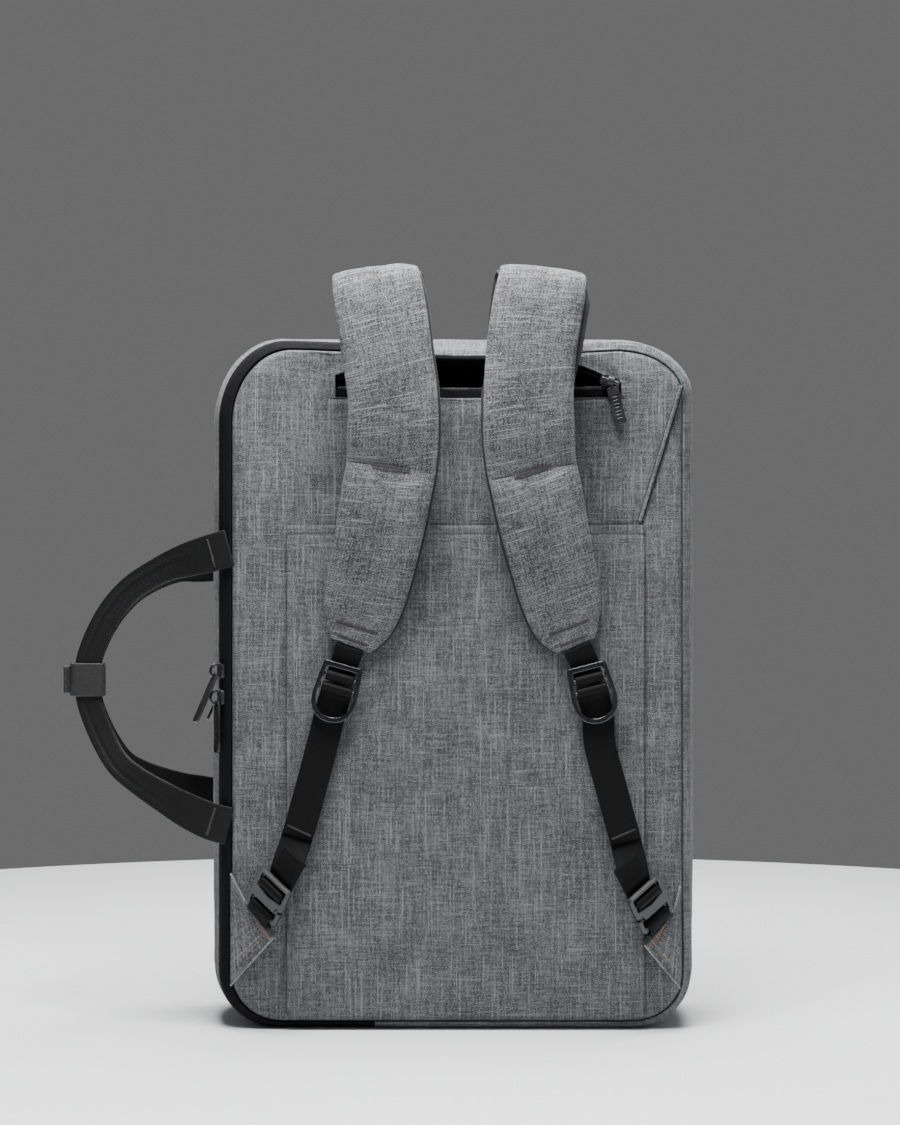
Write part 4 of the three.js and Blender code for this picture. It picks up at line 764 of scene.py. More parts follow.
def at_angles(loop, centre, angles):
    """Points of a closed loop in the given directions from a centre that it surrounds."""
    gap = loop - centre
    turn = np.arctan2(gap[:, 1], gap[:, 0])
    order = np.argsort(turn)
    turn, loop = turn[order], loop[order]
    return np.stack([np.interp(angles, turn, loop[:, k], period=2 * np.pi) for k in range(2)], 1)


def shared_angles(loops, weights, centre, count):
    """Directions that share out count points by the loops' own lengths, in given weights."""
    fine = np.linspace(-np.pi, np.pi, 4001)
    total = np.zeros(len(fine))
    for loop, weight in zip(loops, weights):
        run = along(at_angles(loop, centre, fine))
        total += weight * run / run[-1]
    return np.interp(np.arange(count) / count * total[-1], total, fine)


SLOT_CENTRE = np.array([16.0, SLOT_FLOOR + 12.5])
HEM_STEPS = np.array([0, 0.4, 1.0, 1.8, 2.6, 3.1, 3.6, 4.4, 5.6, 7.4, 9.6, 12])
ROLL_STEPS = np.array([15, 12.5, 10.4, 8.6, 7.1, 5.8, 4.6, 3.5, 2.5, 1.6, 0.9, 0.35, 0])
MIDDLE_STEPS = 60
PANEL_COLUMNS = 640
HEM_STITCH = 3.0
UNDER_SLEEVE = 0.5


def behind_sleeve(x, z, margin):
    """1 well inside the sleeve's rectangle, 0 outside it, with a soft border."""
    inside = np.minimum(np.minimum(x - SLEEVE_LEFT, SLEEVE_RIGHT - x),
                        np.minimum(SLEEVE_TOP - z, z - SLEEVE_BOTTOM))
    return ramp(inside / margin + 0.5)


def make_back_panel():
    """The padded back panel as one ring-shaped body round the slot. A column runs from the
    slot's hem out to the panel's edge. The face rolls over at the edge in a quarter ellipse,
    puckers along the edge seam, has a raised hem round the slot with its stitch line as a
    groove, and elsewhere swells and sags slowly. Behind the sleeve it is flat and gives way
    by UNDER_SLEEVE."""
    mouth, _ = slot_mouth()
    edge = outline(1, 1, SEAM_GAP)
    angles = shared_angles([mouth, edge], [0.4, 0.6], SLOT_CENTRE, PANEL_COLUMNS)
    near, far = at_angles(mouth, SLOT_CENTRE, angles), at_angles(edge, SLOT_CENTRE, angles)
    length = np.linalg.norm(far - near, axis=1)
    tight = np.minimum(1, 0.46 * length / HEM_STEPS[-1])
    hem = HEM_STEPS[:, None] * tight
    roll = length - ROLL_STEPS[:, None] * tight
    t = (np.arange(1, MIDDLE_STEPS) / MIDDLE_STEPS)[:, None]
    middle = hem[-1] + (roll[0] - hem[-1]) * t
    reach = np.concatenate([hem, middle, roll])
    flat = near + (far - near) * (reach / length)[..., None]
    x, z = flat[..., 0], flat[..., 1]
    from_edge = (length - reach) / tight
    from_slot = reach / tight
    depth = np.minimum(4.2, 4.2 * tight ** 0.5)
    over = np.clip(1 - from_edge / 9.5, 0, 1)
    fall = depth * (1 - np.sqrt(np.maximum(1 - over ** 2.2, 0)))
    seam_run = along(np.append(far, far[:1], axis=0))[:-1]
    pucker = 0.32 * ripple(seam_run, seam_run * 0, 15, 31) * np.exp(-((from_edge - 7) / 5.5) ** 2)
    stitched = 1 - 0.75 * np.exp(-((from_slot - HEM_STITCH) / 0.55) ** 2)
    hem_rise = 0.75 * ramp((4.4 - from_slot) / 1.2) * stitched
    free = 1 - behind_sleeve(x, z, 14)
    quiet = ramp(from_edge / 22) * ramp(from_slot / 16)
    swell = 0.9 * ripple(x, z, 78, 33) + 0.35 * ripple(x, z, 26, 34) + 0.6
    drag = 0.9 * np.exp(-((z - 352 - 0.22 * (x + 40)) / 9) ** 2)
    drag = drag * ramp((x + 120) / 30) * ramp((70 - x) / 60)
    face_y = BACK_FACE + fall - pucker - hem_rise * tight - free * quiet * (swell - drag)
    front = np.stack([x, face_y + UNDER_SLEEVE * (1 - free) * quiet, z], -1)
    back_rows = [(near + (far - near) * s, BACK_FACE + PANEL_THICKNESS * deep) for s, deep in (
        (1.0, 0.93), (0.985, 1.0), (0.7, 1.0), (0.3, 1.0), (0.0, 1.0), (0.0, 0.5))]
    back = np.stack([np.stack([p[:, 0], np.full(len(p), y), p[:, 1]], -1) for p, y in back_rows])
    rings = pressed(np.concatenate([front, back]))
    cloth = rings[..., [0, 2]]
    cloth = np.concatenate([cloth, cloth[:1]])
    cloth = np.concatenate([cloth, cloth[:, :1]], axis=1)
    body = patch(rings, cloth, round_rows=True, round_columns=True)
    panel = make_piece("back_panel_cloth", [body], BODY_CLOTH, ["back_panel"])
    return panel


def make_front_panel():
    """The stuffed far panel: rings from the centre out, crowned as in the CAD, rolled over at
    the edge, with seam puckers and slow swells, and a flat inner face."""
    edge = outline(1, 1, SEAM_GAP)
    centre = np.array([(INSET_LEFT - INSET_RIGHT) / 2, (PANEL_TOP + INSET_BOTTOM) / 2])
    scales = np.concatenate([np.linspace(0.02, 0.9, 44), 1 - np.geomspace(0.09, 0.0035, 12), [1.0]])
    run = along(np.append(edge, edge[:1], axis=0))[:-1]
    outer = []
    for s in scales:
        p = centre + (edge - centre) * s
        over = np.clip(1 - (1 - s) / 0.055, 0, 1)
        fall = 4.0 * (1 - math.sqrt(max(1 - over ** 2.2, 0)))
        pucker = 0.5 * ripple(run, run * 0, 16, 41) * math.exp(-((1 - s - 0.05) / 0.035) ** 2)
        slow = ramp((1 - s) / 0.12) * (1.1 * ripple(p[:, 0], p[:, 1], 96, 42) +
                                        0.35 * ripple(p[:, 0], p[:, 1], 33, 43))
        y = -BACK_FACE + FRONT_CROWN * (1 - s * s) - fall + pucker + slow
        outer.append(np.stack([p[:, 0], y, p[:, 1]], -1))
    inner = []
    for s, y in ((1.0, 0.93), (0.985, 1.0), (0.9, 1.0), (0.5, 1.0), (0.02, 1.0)):
        p = centre + (edge - centre) * s
        level = -BACK_FACE - PANEL_THICKNESS * y + FRONT_CROWN * (1 - s * s)
        inner.append(np.stack([p[:, 0], np.full(len(p), level), p[:, 1]], -1))
    rings = np.stack(outer + inner)
    cloth = rings[..., [0, 2]]
    cloth = np.concatenate([cloth, cloth[:, :1]], axis=1)
    body = patch(rings, cloth, round_columns=True, ends=True)
    panel = make_piece("front_panel_cloth", [body], BODY_CLOTH, ["front_panel"])
    return panel


def open_edge_lift(side, top, low):
    """How far the sleeve's open edges stand off the panel, by the distances from its side,
    its top and its bottom."""
    return 1.3 * (1 - ramp(side / 20)) * ramp(top / 26) * ramp(low / 40)


def make_sleeve():
    """The luggage sleeve: a rectangle of cloth over the back panel, open at both upright
    sides. Its hems are turned under, so they stand a little prouder than the cloth inside
    the stitch line, and the open edges lift off the panel."""
    x = np.concatenate([SLEEVE_LEFT + SIDE_HEM_STEPS,
                        np.linspace(SLEEVE_LEFT + 9, SLEEVE_RIGHT - 9, 84),
                        SLEEVE_RIGHT - SIDE_HEM_STEPS[::-1]])
    z = np.concatenate([SLEEVE_TOP - TOP_HEM_STEPS,
                        np.linspace(SLEEVE_TOP - 12, SLEEVE_BOTTOM + 4, 110),
                        SLEEVE_BOTTOM + LOW_HEM_STEPS])
    x, z = np.meshgrid(x, z)
    side = np.minimum(x - SLEEVE_LEFT, SLEEVE_RIGHT - x)
    top, low = SLEEVE_TOP - z, z - SLEEVE_BOTTOM
    edge = 0.35 * (ramp(side / 0.9) + ramp(top / 0.9))
    seams = (0.55 * np.exp(-((side - SIDE_STITCH) / 0.6) ** 2)
             + 0.5 * np.exp(-((top - TOP_STITCH) / 0.6) ** 2))
    inside = ramp(side / 24) * ramp(top / 22) * ramp(low / 30)
    lift = open_edge_lift(side, top, low)
    sag = inside * (1.0 + 0.75 * ripple(x, z, 105, 51) + 0.3 * ripple(x, z, 38, 52))
    y = BACK_FACE - GAP - SLEEVE_THICKNESS - edge + seams - lift - sag
    grid = np.stack([x, y, z], -1)[:, ::-1]
    sheet = patch(grid, grid[..., [0, 2]])
    piece = make_piece("luggage_sleeve_cloth", [sheet], BODY_CLOTH, ["luggage_sleeve"])
    sheet_wall(piece, 1.1)
    return piece


def make_pocket():
    """The black pocket behind the slot: upright sections of a tray, each from the panel back
    over a rounded bottom and up to the slot's top, less deep towards the two ends."""
    mouth = BACK_FACE + PANEL_THICKNESS + SEAM_GAP
    left, right = SLOT_LEFT - POCKET_MARGIN, SLOT_RIGHT + POCKET_MARGIN
    top, floor = SLOT_FLOOR + SLOT_PEAK, SLOT_FLOOR + SLOT_PEAK - POCKET_HEIGHT
    u = np.sin(np.linspace(-np.pi / 2, np.pi / 2, 56))[:, None]
    v = np.linspace(0, np.pi, 34)[None, :]
    deep = (POCKET_DEPTH - LINING_WALL - 0.2) * (1 - np.abs(u) ** 6) ** 0.4
    x = (left + right) / 2 + u * (right - left) / 2 + 0 * v
    across = np.sign(np.cos(v)) * np.abs(np.cos(v)) ** 0.55
    z = (top + floor) / 2 - across * (top - floor) / 2 + 0 * u
    y = mouth + deep * np.abs(np.sin(v)) ** 0.35
    y = y - 0.5 * (1 + ripple(x, z, 24, 61)) * np.sin(v) ** 2 * (deep / POCKET_DEPTH)
    grid = pressed(np.stack([x, y, z], -1))
    cloth = np.stack([x, along(grid.transpose(1, 0, 2)).T], -1)
    tray = patch(grid, cloth)
    piece = make_piece("strap_pocket_cloth", [tray], LINING_CLOTH, ["strap_pocket"])
    return sheet_wall(piece, LINING_WALL - 0.2, 1.0)


def sweep(at, across, profile):
    """A section carried along a path. at and across are one point and one direction for each
    station, profile is (stations, points, 2) as across and out, and out is the tangent
    crossed with across. Gives a grid with one row for each station."""
    tangent = unit(np.gradient(at, axis=0))
    out = unit(np.cross(tangent, across))
    side = unit(np.cross(out, tangent))
    return at[:, None] + side[:, None] * profile[..., :1] + out[:, None] * profile[..., 1:]


def flat_tube(width, thickness, corner=0.5, side_points=6, face_points=7):
    """Flat sections, one for each station: two flat faces between elliptic edges, whose depth
    is the share corner of the thickness."""
    angle = np.linspace(-np.pi / 2, np.pi / 2, side_points)
    bulge = corner * thickness[:, None]
    edge_a = width[:, None] / 2 - bulge + bulge * np.cos(angle)
    edge_b = thickness[:, None] / 2 * np.sin(angle)
    face = np.linspace(1, -1, face_points)[1:-1]
    face_a = (width[:, None] / 2 - bulge) * face
    top = np.stack([face_a, np.repeat(thickness[:, None] / 2, len(face), 1)], -1)
    low = np.stack([-face_a, np.repeat(-thickness[:, None] / 2, len(face), 1)], -1)
    right = np.stack([edge_a, edge_b], -1)
    left = np.stack([-edge_a, -edge_b], -1)
    return np.concatenate([right, top, left, low], axis=1)


def band_map(grid):
    """The cloth map of a swept band: distance round the section from its first point, and
    distance along the band."""
    section = grid[len(grid) // 2]
    around = along(np.append(section, section[:1], axis=0)[:, None])[:, 0]
    run = along(grid.mean(axis=1)[:, None])[:, 0]
    return np.stack(np.meshgrid(around, run), -1)


def band(at, across, width, thickness, **shape):
    """A closed patch of webbing or cloth: flat_tube carried along a path by sweep."""
    count = len(at)
    profile = flat_tube(np.broadcast_to(width, count), np.broadcast_to(thickness, count), **shape)
    grid = sweep(at, across, profile)
    return patch(grid, band_map(grid), round_columns=True, ends=True)


def smooth_path(rows, steps):
    """Points on a centripetal Catmull-Rom curve through rows, whose first three columns are
    the place. The other columns run along the same curve. steps goes to each stretch."""
    rows = np.asarray(rows, float)
    padded = np.concatenate([[2 * rows[0] - rows[1]], rows, [2 * rows[-1] - rows[-2]]])
    pace = np.sqrt(np.linalg.norm(np.diff(padded[:, :3], axis=0), axis=1))[:, None]
    p0, p1, p2, p3 = padded[:-3], padded[1:-2], padded[2:-1], padded[3:]
    d0, d1, d2 = pace[:-2], pace[1:-1], pace[2:]
    m1 = ((p1 - p0) / d0 - (p2 - p0) / (d0 + d1) + (p2 - p1) / d1) * d1
    m2 = ((p2 - p1) / d1 - (p3 - p1) / (d1 + d2) + (p3 - p2) / d2) * d1
    t = (np.arange(steps) / steps)[None, :, None]
    p1, p2, m1, m2 = (v[:, None] for v in (p1, p2, m1, m2))
    curve = ((2 * t ** 3 - 3 * t ** 2 + 1) * p1 + (t ** 3 - 2 * t ** 2 + t) * m1
             + (3 * t ** 2 - 2 * t ** 3) * p2 + (t ** 3 - t ** 2) * m2)
    return np.concatenate([curve.reshape(-1, rows.shape[1]), rows[-1:]])


def make_slot_tapes():
    """The opened halves of the slot's zip. The lower tape stands on the slot's floor. The
    upper one follows the arched top, and between the straps it rolls out over the hem."""
    x = np.linspace(SLOT_LEFT + GAP, SLOT_RIGHT - GAP, 90)
    low = SLOT_FLOOR + GAP
    y = BACK_FACE + TAPE_RECESS
    top = low + TAPE_WIDTH - 1.5
    wave = 0.35 * ripple(x, x * 0, 42, 71)
    at = np.stack([x, y + TAPE_THICKNESS / 2 + wave * 0.4, np.full(len(x), (low + top) / 2)], 1)
    across = np.tile([0.0, 0.0, 1.0], (len(x), 1))
    lower = band(pressed(at), across, top - low, TAPE_THICKNESS)
    make_piece("slot_tape_lower_cloth", [lower], ZIP_TAPE, ["slot_tape_lower"])

    loop, start = slot_mouth(GAP)
    arch = loop[start:start + 3 * MOUTH_STEPS]
    arch = arch[arch[:, 1] > SLOT_FLOOR + 0.6 * SLOT_END_RISE]
    run = unit(np.gradient(arch, axis=0))
    inwards = np.stack([-run[:, 1], run[:, 0]], 1)
    reach = TAPE_WIDTH * 0.5
    t = np.linspace(0, 1, 13)
    profile_y = BACK_FACE + TAPE_RECESS + 0.6 - 1.1 * np.sin(np.pi * np.clip(t * 1.3 - 0.3, 0, 1))
    from_ends = np.minimum(arch[:, 0] - SLOT_LEFT - TAPE_ROLL_ENDS[0],
                           SLOT_RIGHT - TAPE_ROLL_ENDS[1] - arch[:, 0])
    middle = np.clip(from_ends / TAPE_ROLL_RAMP, 0, 1)
    over = ramp((0.45 - t) / 0.45)
    rows = []
    for share, depth, roll in zip(t, profile_y, over):
        p = arch + inwards * (reach * share - 3.4 * roll * middle)[:, None]
        p[:, 1] = np.maximum(p[:, 1], SLOT_FLOOR + TAPE_WIDTH + 1)
        front = BACK_FACE - 2.3 - 0.5 * np.sin(np.pi * min(share / 0.45, 1))
        y = depth + (front - depth) * ramp(roll * 3) * middle
        rows.append(np.stack([p[:, 0], y, p[:, 1]], 1))
    back = [row + [0, TAPE_THICKNESS, 0] for row in rows[::-1]]
    grid = pressed(np.stack(rows + back)).transpose(1, 0, 2)
    upper = patch(grid, band_map(grid), round_columns=True, ends=True)
    make_piece("slot_tape_upper_cloth", [upper], ZIP_TAPE, ["slot_tape_upper"])


def pebble(sides, rings):
    """Points and faces of a closed unit ball of few faces, for many small copies."""
    turn = np.arange(sides) * 2 * np.pi / sides
    rise = np.linspace(-np.pi / 2, np.pi / 2, rings + 2)[1:-1]
    ring = np.stack([np.outer(np.cos(rise), np.cos(turn)), np.outer(np.cos(rise), np.sin(turn)),
                     np.repeat(np.sin(rise)[:, None], sides, 1)], -1).reshape(-1, 3)
    points = np.concatenate([ring, [[0, 0, -1], [0, 0, 1]]])
    faces = []
    for k in range(rings - 1):
        for j in range(sides):
            n = (j + 1) % sides
            faces.append([k * sides + j, k * sides + n, (k + 1) * sides + n, (k + 1) * sides + j])
    south, north = len(points) - 2, len(points) - 1
    for j in range(sides):
        n = (j + 1) % sides
        faces.append([n, j, south])
        faces.append([(rings - 1) * sides + j, (rings - 1) * sides + n, north])
    return points, faces


def scatter_beads(name, at, axes, sizes, finish, body=BAG, sides=6, rings=3):
    """One piece of many small rounded beads, such as stitches or coil teeth. at holds their
    middles, axes three directions for each, sizes the half sizes along them."""
    points, faces = pebble(sides, rings)
    squared = np.sign(points) * np.abs(points) ** 0.8
    sizes = np.broadcast_to(sizes, (len(at), 3))
    placed = at[:, None] + np.einsum("pk,nk,nkc->npc", squared, sizes, axes)
    count = len(points)
    all_faces = [[c + n * count for c in face] for n in range(len(at)) for face in faces]
    mesh = bpy.data.meshes.new(name)
    mesh.from_pydata((placed.reshape(-1, 3) * MM).tolist(), [], all_faces)
    return dress(smooth_object(name, mesh, finish), (), body)


def spaced(path, pitch):
    """Places and unit directions along a polyline, pitch apart."""
    run = along(path[:, None])[:, 0]
    stops = np.arange(pitch / 2, run[-1], pitch)
    at, ahead, behind = (
        np.stack([np.interp(stops + shift, run, path[:, k]) for k in range(3)], 1)
        for shift in (0, 0.2, -0.2)
    )
    return at, unit(ahead - behind)


def stitch_row(path, facing, pitch, long, thick):
    """Stitches along a path as (places, axes, half sizes): each lies along the path with its
    ends sunk, and facing is the direction in which the cloth faces there."""
    at, run = spaced(path, pitch)
    facing = np.broadcast_to(np.asarray(facing, float), run.shape)
    side = unit(np.cross(facing, run))
    axes = np.stack([run, side, np.cross(run, side)], 1)
    return at, axes, np.tile([long, thick * 1.15, thick], (len(at), 1))


def sew(name, rows, finish):
    """One piece from several rows of stitches."""
    at, axes, sizes = (np.concatenate(column) for column in zip(*rows))
    return scatter_beads(name, at, axes, sizes, finish)


ZIGZAG_PITCH = 0.62


def bartack(middle, run, facing, length, width):
    """A bar of close zigzag stitches across a strap: slanted threads side by side."""
    run, facing = unit(np.array(run, float)), unit(np.array(facing, float))
    side = np.cross(facing, run)
    count = int(length / ZIGZAG_PITCH)
    offset = (np.arange(count) - (count - 1) / 2) * ZIGZAG_PITCH
    lean = np.where(np.arange(count) % 2 == 0, 0.16, -0.16)[:, None]
    at = np.array(middle, float) + offset[:, None] * run
    thread = unit(side + lean * run)
    axes = np.stack([thread, np.cross(facing, thread), np.tile(facing, (count, 1))], 1)
    return at, axes, np.tile([width / 2, 0.3, 0.3], (count, 1))


def make_slot_coil():
    """The row of coil teeth on top of the lower tape. Each tooth is a bead set across it."""
    x = np.linspace(SLOT_LEFT + 1.5, SLOT_RIGHT - 4, 300)
    y = np.full(len(x), BACK_FACE + TAPE_RECESS - 0.2)
    z = np.full(len(x), SLOT_FLOOR + GAP + TAPE_WIDTH - 0.9)
    line = pressed(np.stack([x, y, z], 1))
    at, run = spaced(line, 1.15)
    up = np.tile([0.0, 0.0, 1.0], (len(at), 1))
    axes = np.stack([run, up, np.cross(run, up)], 1)
    sizes = np.tile([0.42, 1.15, 0.85], (len(at), 1))
    return scatter_beads("slot_coil_lower", at, axes, sizes, COIL)


# Straps: the CAD's tables again, with the same columns
STRAP_WIDTH = 56
STRAP_THICKNESS = 8
STRAP_LINING = 1.5
STRAP_CENTRE = 3.7
STRAP_SPREAD = 52.6
STRAP_RISE = 35.5
STRAP_DROP = 235
STRAP_STANDOFF = 40
FOLD_LEVEL = BODY_HEIGHT + STRAP_RISE

# z, out, left, right, width, thick, turn
STRAP_ROWS = [
    (391, -0.36, 0.8, 0.86, 0.84, 0.34, -6),
    (402, -0.31, 0.8, 0.86, 0.86, 0.36, -6),
    (411.5, -0.22, 0.81, 0.86, 0.88, 0.38, -6),
    (418, -0.1, 0.82, 0.86, 0.91, 0.42, -6),
    (425.5, 0.06, 0.83, 0.87, 0.95, 0.55, -6),
]
# rise above the body as a share of STRAP_RISE, then the same columns
STRAP_ROWS += [
    (BODY_HEIGHT + up * STRAP_RISE, *rest) for up, *rest in (
        (-0.21, 0.24, 0.87, 0.89, 0.98, 0.9, -6),
        (0.21, 0.36, 0.91, 0.92, 1.0, 1.0, -6),
        (0.6, 0.42, 0.95, 0.95, 1.0, 1.0, -6),
        (0.88, 0.5, 0.98, 0.98, 0.99, 0.76, -6),
        (1.0, 0.675, 1.0, 1.0, 0.96, 0.64, -6),
        (0.91, 0.85, 0.99, 1.0, 0.97, 0.72, -6),
    )
]
# drop below the fold as a share of STRAP_DROP, then the same columns
STRAP_ROWS += [
    (FOLD_LEVEL - down * STRAP_DROP, *rest) for down, *rest in (
        (0.055, 0.95, 0.965, 0.97, 1.0, 0.9, -7),
        (0.13, 0.99, 0.91, 0.91, 1.01, 1.04, -8),
        (0.23, 1.0, 0.85, 0.85, 1.0, 1.05, -6),
        (0.34, 0.97, 0.785, 0.825, 1.0, 1.03, -3),
        (0.445, 0.9, 0.785, 0.835, 1.02, 0.95, 1),
        (0.515, 0.82, 0.8, 0.86, 1.0, 0.62, 4),
        (0.6, 0.75, 0.87, 0.94, 1.0, 0.98, 9),
        (0.7, 0.64, 0.955, 1.035, 0.98, 1.02, 12),
        (0.8, 0.51, 1.05, 1.145, 0.94, 0.98, 13),
        (0.88, 0.39, 1.14, 1.235, 0.9, 0.85, 13),
        (0.94, 0.31, 1.21, 1.3, 0.79, 0.66, 14),
        (0.975, 0.275, 1.26, 1.36, 0.64, 0.48, 15),
        (1.0, 0.255, 1.3, 1.405, 0.48, 0.34, 16),
    )
]
SIDES = {"left": -1, "right": 1}
STRAP_STEPS = 24


def strap_path(side):
    """The strap's fine stations: place, across, width and thickness, and the tangent's own
    outward direction."""
    rows = []
    for z, out, left, right, width, thick, turn in STRAP_ROWS:
        aside = left if side < 0 else right
        turn = math.radians(turn if side < 0 else -turn)
        rows.append((STRAP_CENTRE + side * aside * STRAP_SPREAD, BACK_FACE - out * STRAP_STANDOFF, z,
                     math.cos(turn), 0, -math.sin(turn), width * STRAP_WIDTH, thick * STRAP_THICKNESS))
    fine = smooth_path(rows, STRAP_STEPS)
    at, across = fine[:, :3], unit(fine[:, 3:6])
    tangent = unit(np.gradient(at, axis=0))
    out = unit(np.cross(tangent, across))
    return {"at": at, "across": unit(np.cross(out, tangent)), "out": out, "tangent": tangent,
            "width": fine[:, 6], "thick": fine[:, 7], "run": along(at[:, None])[:, 0]}


def nearest_station(path, level):
    """The station of the strap's front run that lies at a level."""
    top = int(np.argmax(path["at"][:, 2]))
    return top + int(np.argmin(np.abs(path["at"][top:, 2] - level)))


# where the two padded halves of a strap are sewn through, how deep as a share of the
# thickness, and the head's cross seam
CREASE_LEVEL = {"left": 357.0, "right": 354.5}
CREASE_SINK = 0.62
HEAD_SEAM_LEVEL = 476.0
PAD_RIM = 0.16
LINING_SHIFT = 1.3


def pad_swell(u):
    """Height of a padded strap's face above its underside, as a share of the thickness, at a
    share u of the half width."""
    return PAD_RIM + (1 - PAD_RIM) * np.sqrt(np.maximum(1 - u ** 4, 0))


def make_strap(name, side):
    """A padded strap. Its face swells by pad_swell across the width over a flat underside.
    The foam sinks at the edge seam, at the head seam and where it narrows, and deepest at
    the mid crease, with a long roll above it and a short one below. It swells unevenly
    between, and the rim is a thin rolled edge. The lining sits a little to the inner side,
    so that a black edge shows there, and to the outer side behind the right strap's fold."""
    path = strap_path(side)
    at, across, out = path["at"], path["across"], path["out"]
    half, thick, run = path["width"] / 2, path["thick"], path["run"]
    u = np.sin(np.linspace(-np.pi / 2, np.pi / 2, 44))
    rim = np.abs(u)
    swell = pad_swell(u)
    below = run - run[nearest_station(path, CREASE_LEVEL[name])]
    crease = np.exp(-np.abs(below) / np.where(below < 0, 10.5, 3.2))
    head = np.exp(-((run - run[nearest_station(path, HEAD_SEAM_LEVEL)]) / 1.5) ** 2)
    tail = ramp((run[-1] - run) / 42)
    uneven = 0.32 * ripple(run[:, None] + side * 40, u[None, :] * 26, 38, 80 + side)
    uneven = uneven + 0.16 * ripple(run[:, None], u[None, :] * 26, 13, 84 + side)
    seam = 0.55 * np.exp(-((1 - rim) / 0.10) ** 2) - 0.28 * np.exp(-((0.87 - rim) / 0.035) ** 2)
    body = (1 - rim ** 6)[None, :]
    rise = thick[:, None] * (swell[None, :] - 0.5) + uneven * body * tail[:, None]
    rise = rise + 0.5 * seam[None, :] * np.minimum(1, thick / 5)[:, None]
    rise = rise - (CREASE_SINK * thick * crease + 0.5 * head)[:, None] * body
    top_a = half[:, None] * u[None, :]
    under_u = np.linspace(0.96, -0.96, 16)
    under_a = half[:, None] * under_u[None, :]
    under_b = np.repeat(-thick[:, None] / 2, len(under_u), 1)
    profile = np.stack([np.concatenate([top_a, under_a], 1), np.concatenate([rise, under_b], 1)], -1)
    grid = at[:, None] + across[:, None] * profile[..., :1] + out[:, None] * profile[..., 1:]
    wide = np.concatenate([top_a, under_a, top_a[:, :1] - 0.01], 1)
    cloth = np.stack([wide, np.repeat(run[:, None], wide.shape[1], 1)], -1)
    pad = patch(grid, cloth, round_columns=True, ends=True)
    piece = make_piece(f"strap_pad_{name}_cloth", [pad], STRAP_CLOTH,
                       [f"strap_pad_{name}"])

    depth = np.minimum(STRAP_LINING, 0.5 * thick)
    near_fold = (np.abs(at[:, 2] - BODY_HEIGHT) < 28) & (run > run[np.argmax(at[:, 2])])
    shift = LINING_SHIFT * np.where(near_fold & (side > 0), 2.6, -side)
    shift = np.convolve(np.pad(shift, 14, "edge"), np.ones(29) / 29, "valid")
    back = at - out * (thick / 2 + GAP + depth / 2)[:, None] + across * shift[:, None]
    profile = flat_tube(path["width"] + 0.5, depth)
    grid = back[:, None] + across[:, None] * profile[..., :1] + out[:, None] * profile[..., 1:]
    lining = patch(grid, band_map(grid), round_columns=True, ends=True)
    make_piece(f"strap_lining_{name}_mesh", [lining], STRAP_MESH,
               [f"strap_lining_{name}"])
    return path


def strap_stitching(name, side, path):
    """Thread on a strap: a row inside each edge, the head's cross seam, the crease's stitches
    laid close as one black line that also paints the groove's shade, and its bar, and the
    two bars that hold the webbing at the lower end."""
    at, across, out = path["at"], path["across"], path["out"]
    width, thick, run = path["width"], path["thick"], path["run"]

    def face(u, k):
        """The strap's face at station k and a share u of its half width."""
        return at[k] + across[k] * (width[k] / 2 * u) + out[k] * (thick[k] * (pad_swell(u) - 0.5))

    facing = out[nearest_station(path, 400)]
    stations = range(0, len(at) - 6, 2)
    edges = []
    for u in (-0.88, 0.88):
        line = np.stack([face(u, k) - out[k] * 0.16 for k in stations])
        edges.append(stitch_row(line, facing, pitch=3.4, long=1.1, thick=0.2))
    sew(f"strap_edge_stitches_{name}", edges, GREY_THREAD)

    k = nearest_station(path, HEAD_SEAM_LEVEL)
    line = np.stack([face(u, k) - out[k] * 0.42 for u in np.linspace(-0.35, 0.35, 20)])
    cross = stitch_row(line, out[k], pitch=2.6, long=0.9, thick=0.22)
    sew(f"strap_head_seam_{name}", [cross], RUST_THREAD)

    k = nearest_station(path, CREASE_LEVEL[name])
    sunk = CREASE_SINK * thick[k]
    line = np.stack([face(u, k) - out[k] * (sunk * (1 - abs(u) ** 6) - 0.12)
                     for u in np.linspace(-0.93, 0.93, 40)])
    # stitches overlap into one unbroken black line: thread, and painted shade in the crease
    groove = stitch_row(line, out[k], pitch=1.5, long=0.85, thick=0.32)
    sew(f"strap_crease_thread_{name}", [groove], BLACK_THREAD)
    slanted = across[k] + np.array([0, 0, 0.0 if side < 0 else 0.12])
    bar = bartack(face(0.0, k) - out[k] * (sunk - 2.3), slanted, out[k], width[k] * 0.45, 3.0)
    sew(f"strap_crease_bar_{name}", [bar], MAROON_THREAD)

    ends = []
    for share, from_end in ((0.62, 3.5), (0.66, 12.5)):
        k = int(np.argmin(np.abs(run[-1] - run - from_end)))
        ends.append(bartack(face(0.0, k) + out[k] * 0.05, across[k], out[k], width[k] * share, 3.0))
    sew(f"strap_end_bars_{name}", ends, MAROON_THREAD)


# Hardware places, as in the CAD
WEB_WIDTH = 20
WEB_IN_LOCK = 18
WEB_THICKNESS = 1.5
LAYER_STEP = 2
LOCK_STANDOFF = 11.5
BAR_RADIUS = 1.5
HOOK_STANDOFF = 16.5
WING_THICKNESS = 2.2
STRAP_END = FOLD_LEVEL - STRAP_DROP
LOCK_PLACES = {"left": (-1.4791, 30.3, 16), "right": (1.6141, 30.9, -14.5)}
HOOK_PLACES = {"left": (-1, 25.2, 87, 40, 26), "right": (1, 22.4, 82, 38, 25)}
LOCK_BAR_UPPER = -10
LOCK_BAR_LOWER = -2.4
HOOK_BAR = -6.5
NEAR_LAYER = -3.4
FAR_LAYER = NEAR_LAYER - LAYER_STEP


def panel_side(side):
    """X of the panel's side edge."""
    return -BODY_WIDTH / 2 + INSET_LEFT if side < 0 else BODY_WIDTH / 2 - INSET_RIGHT


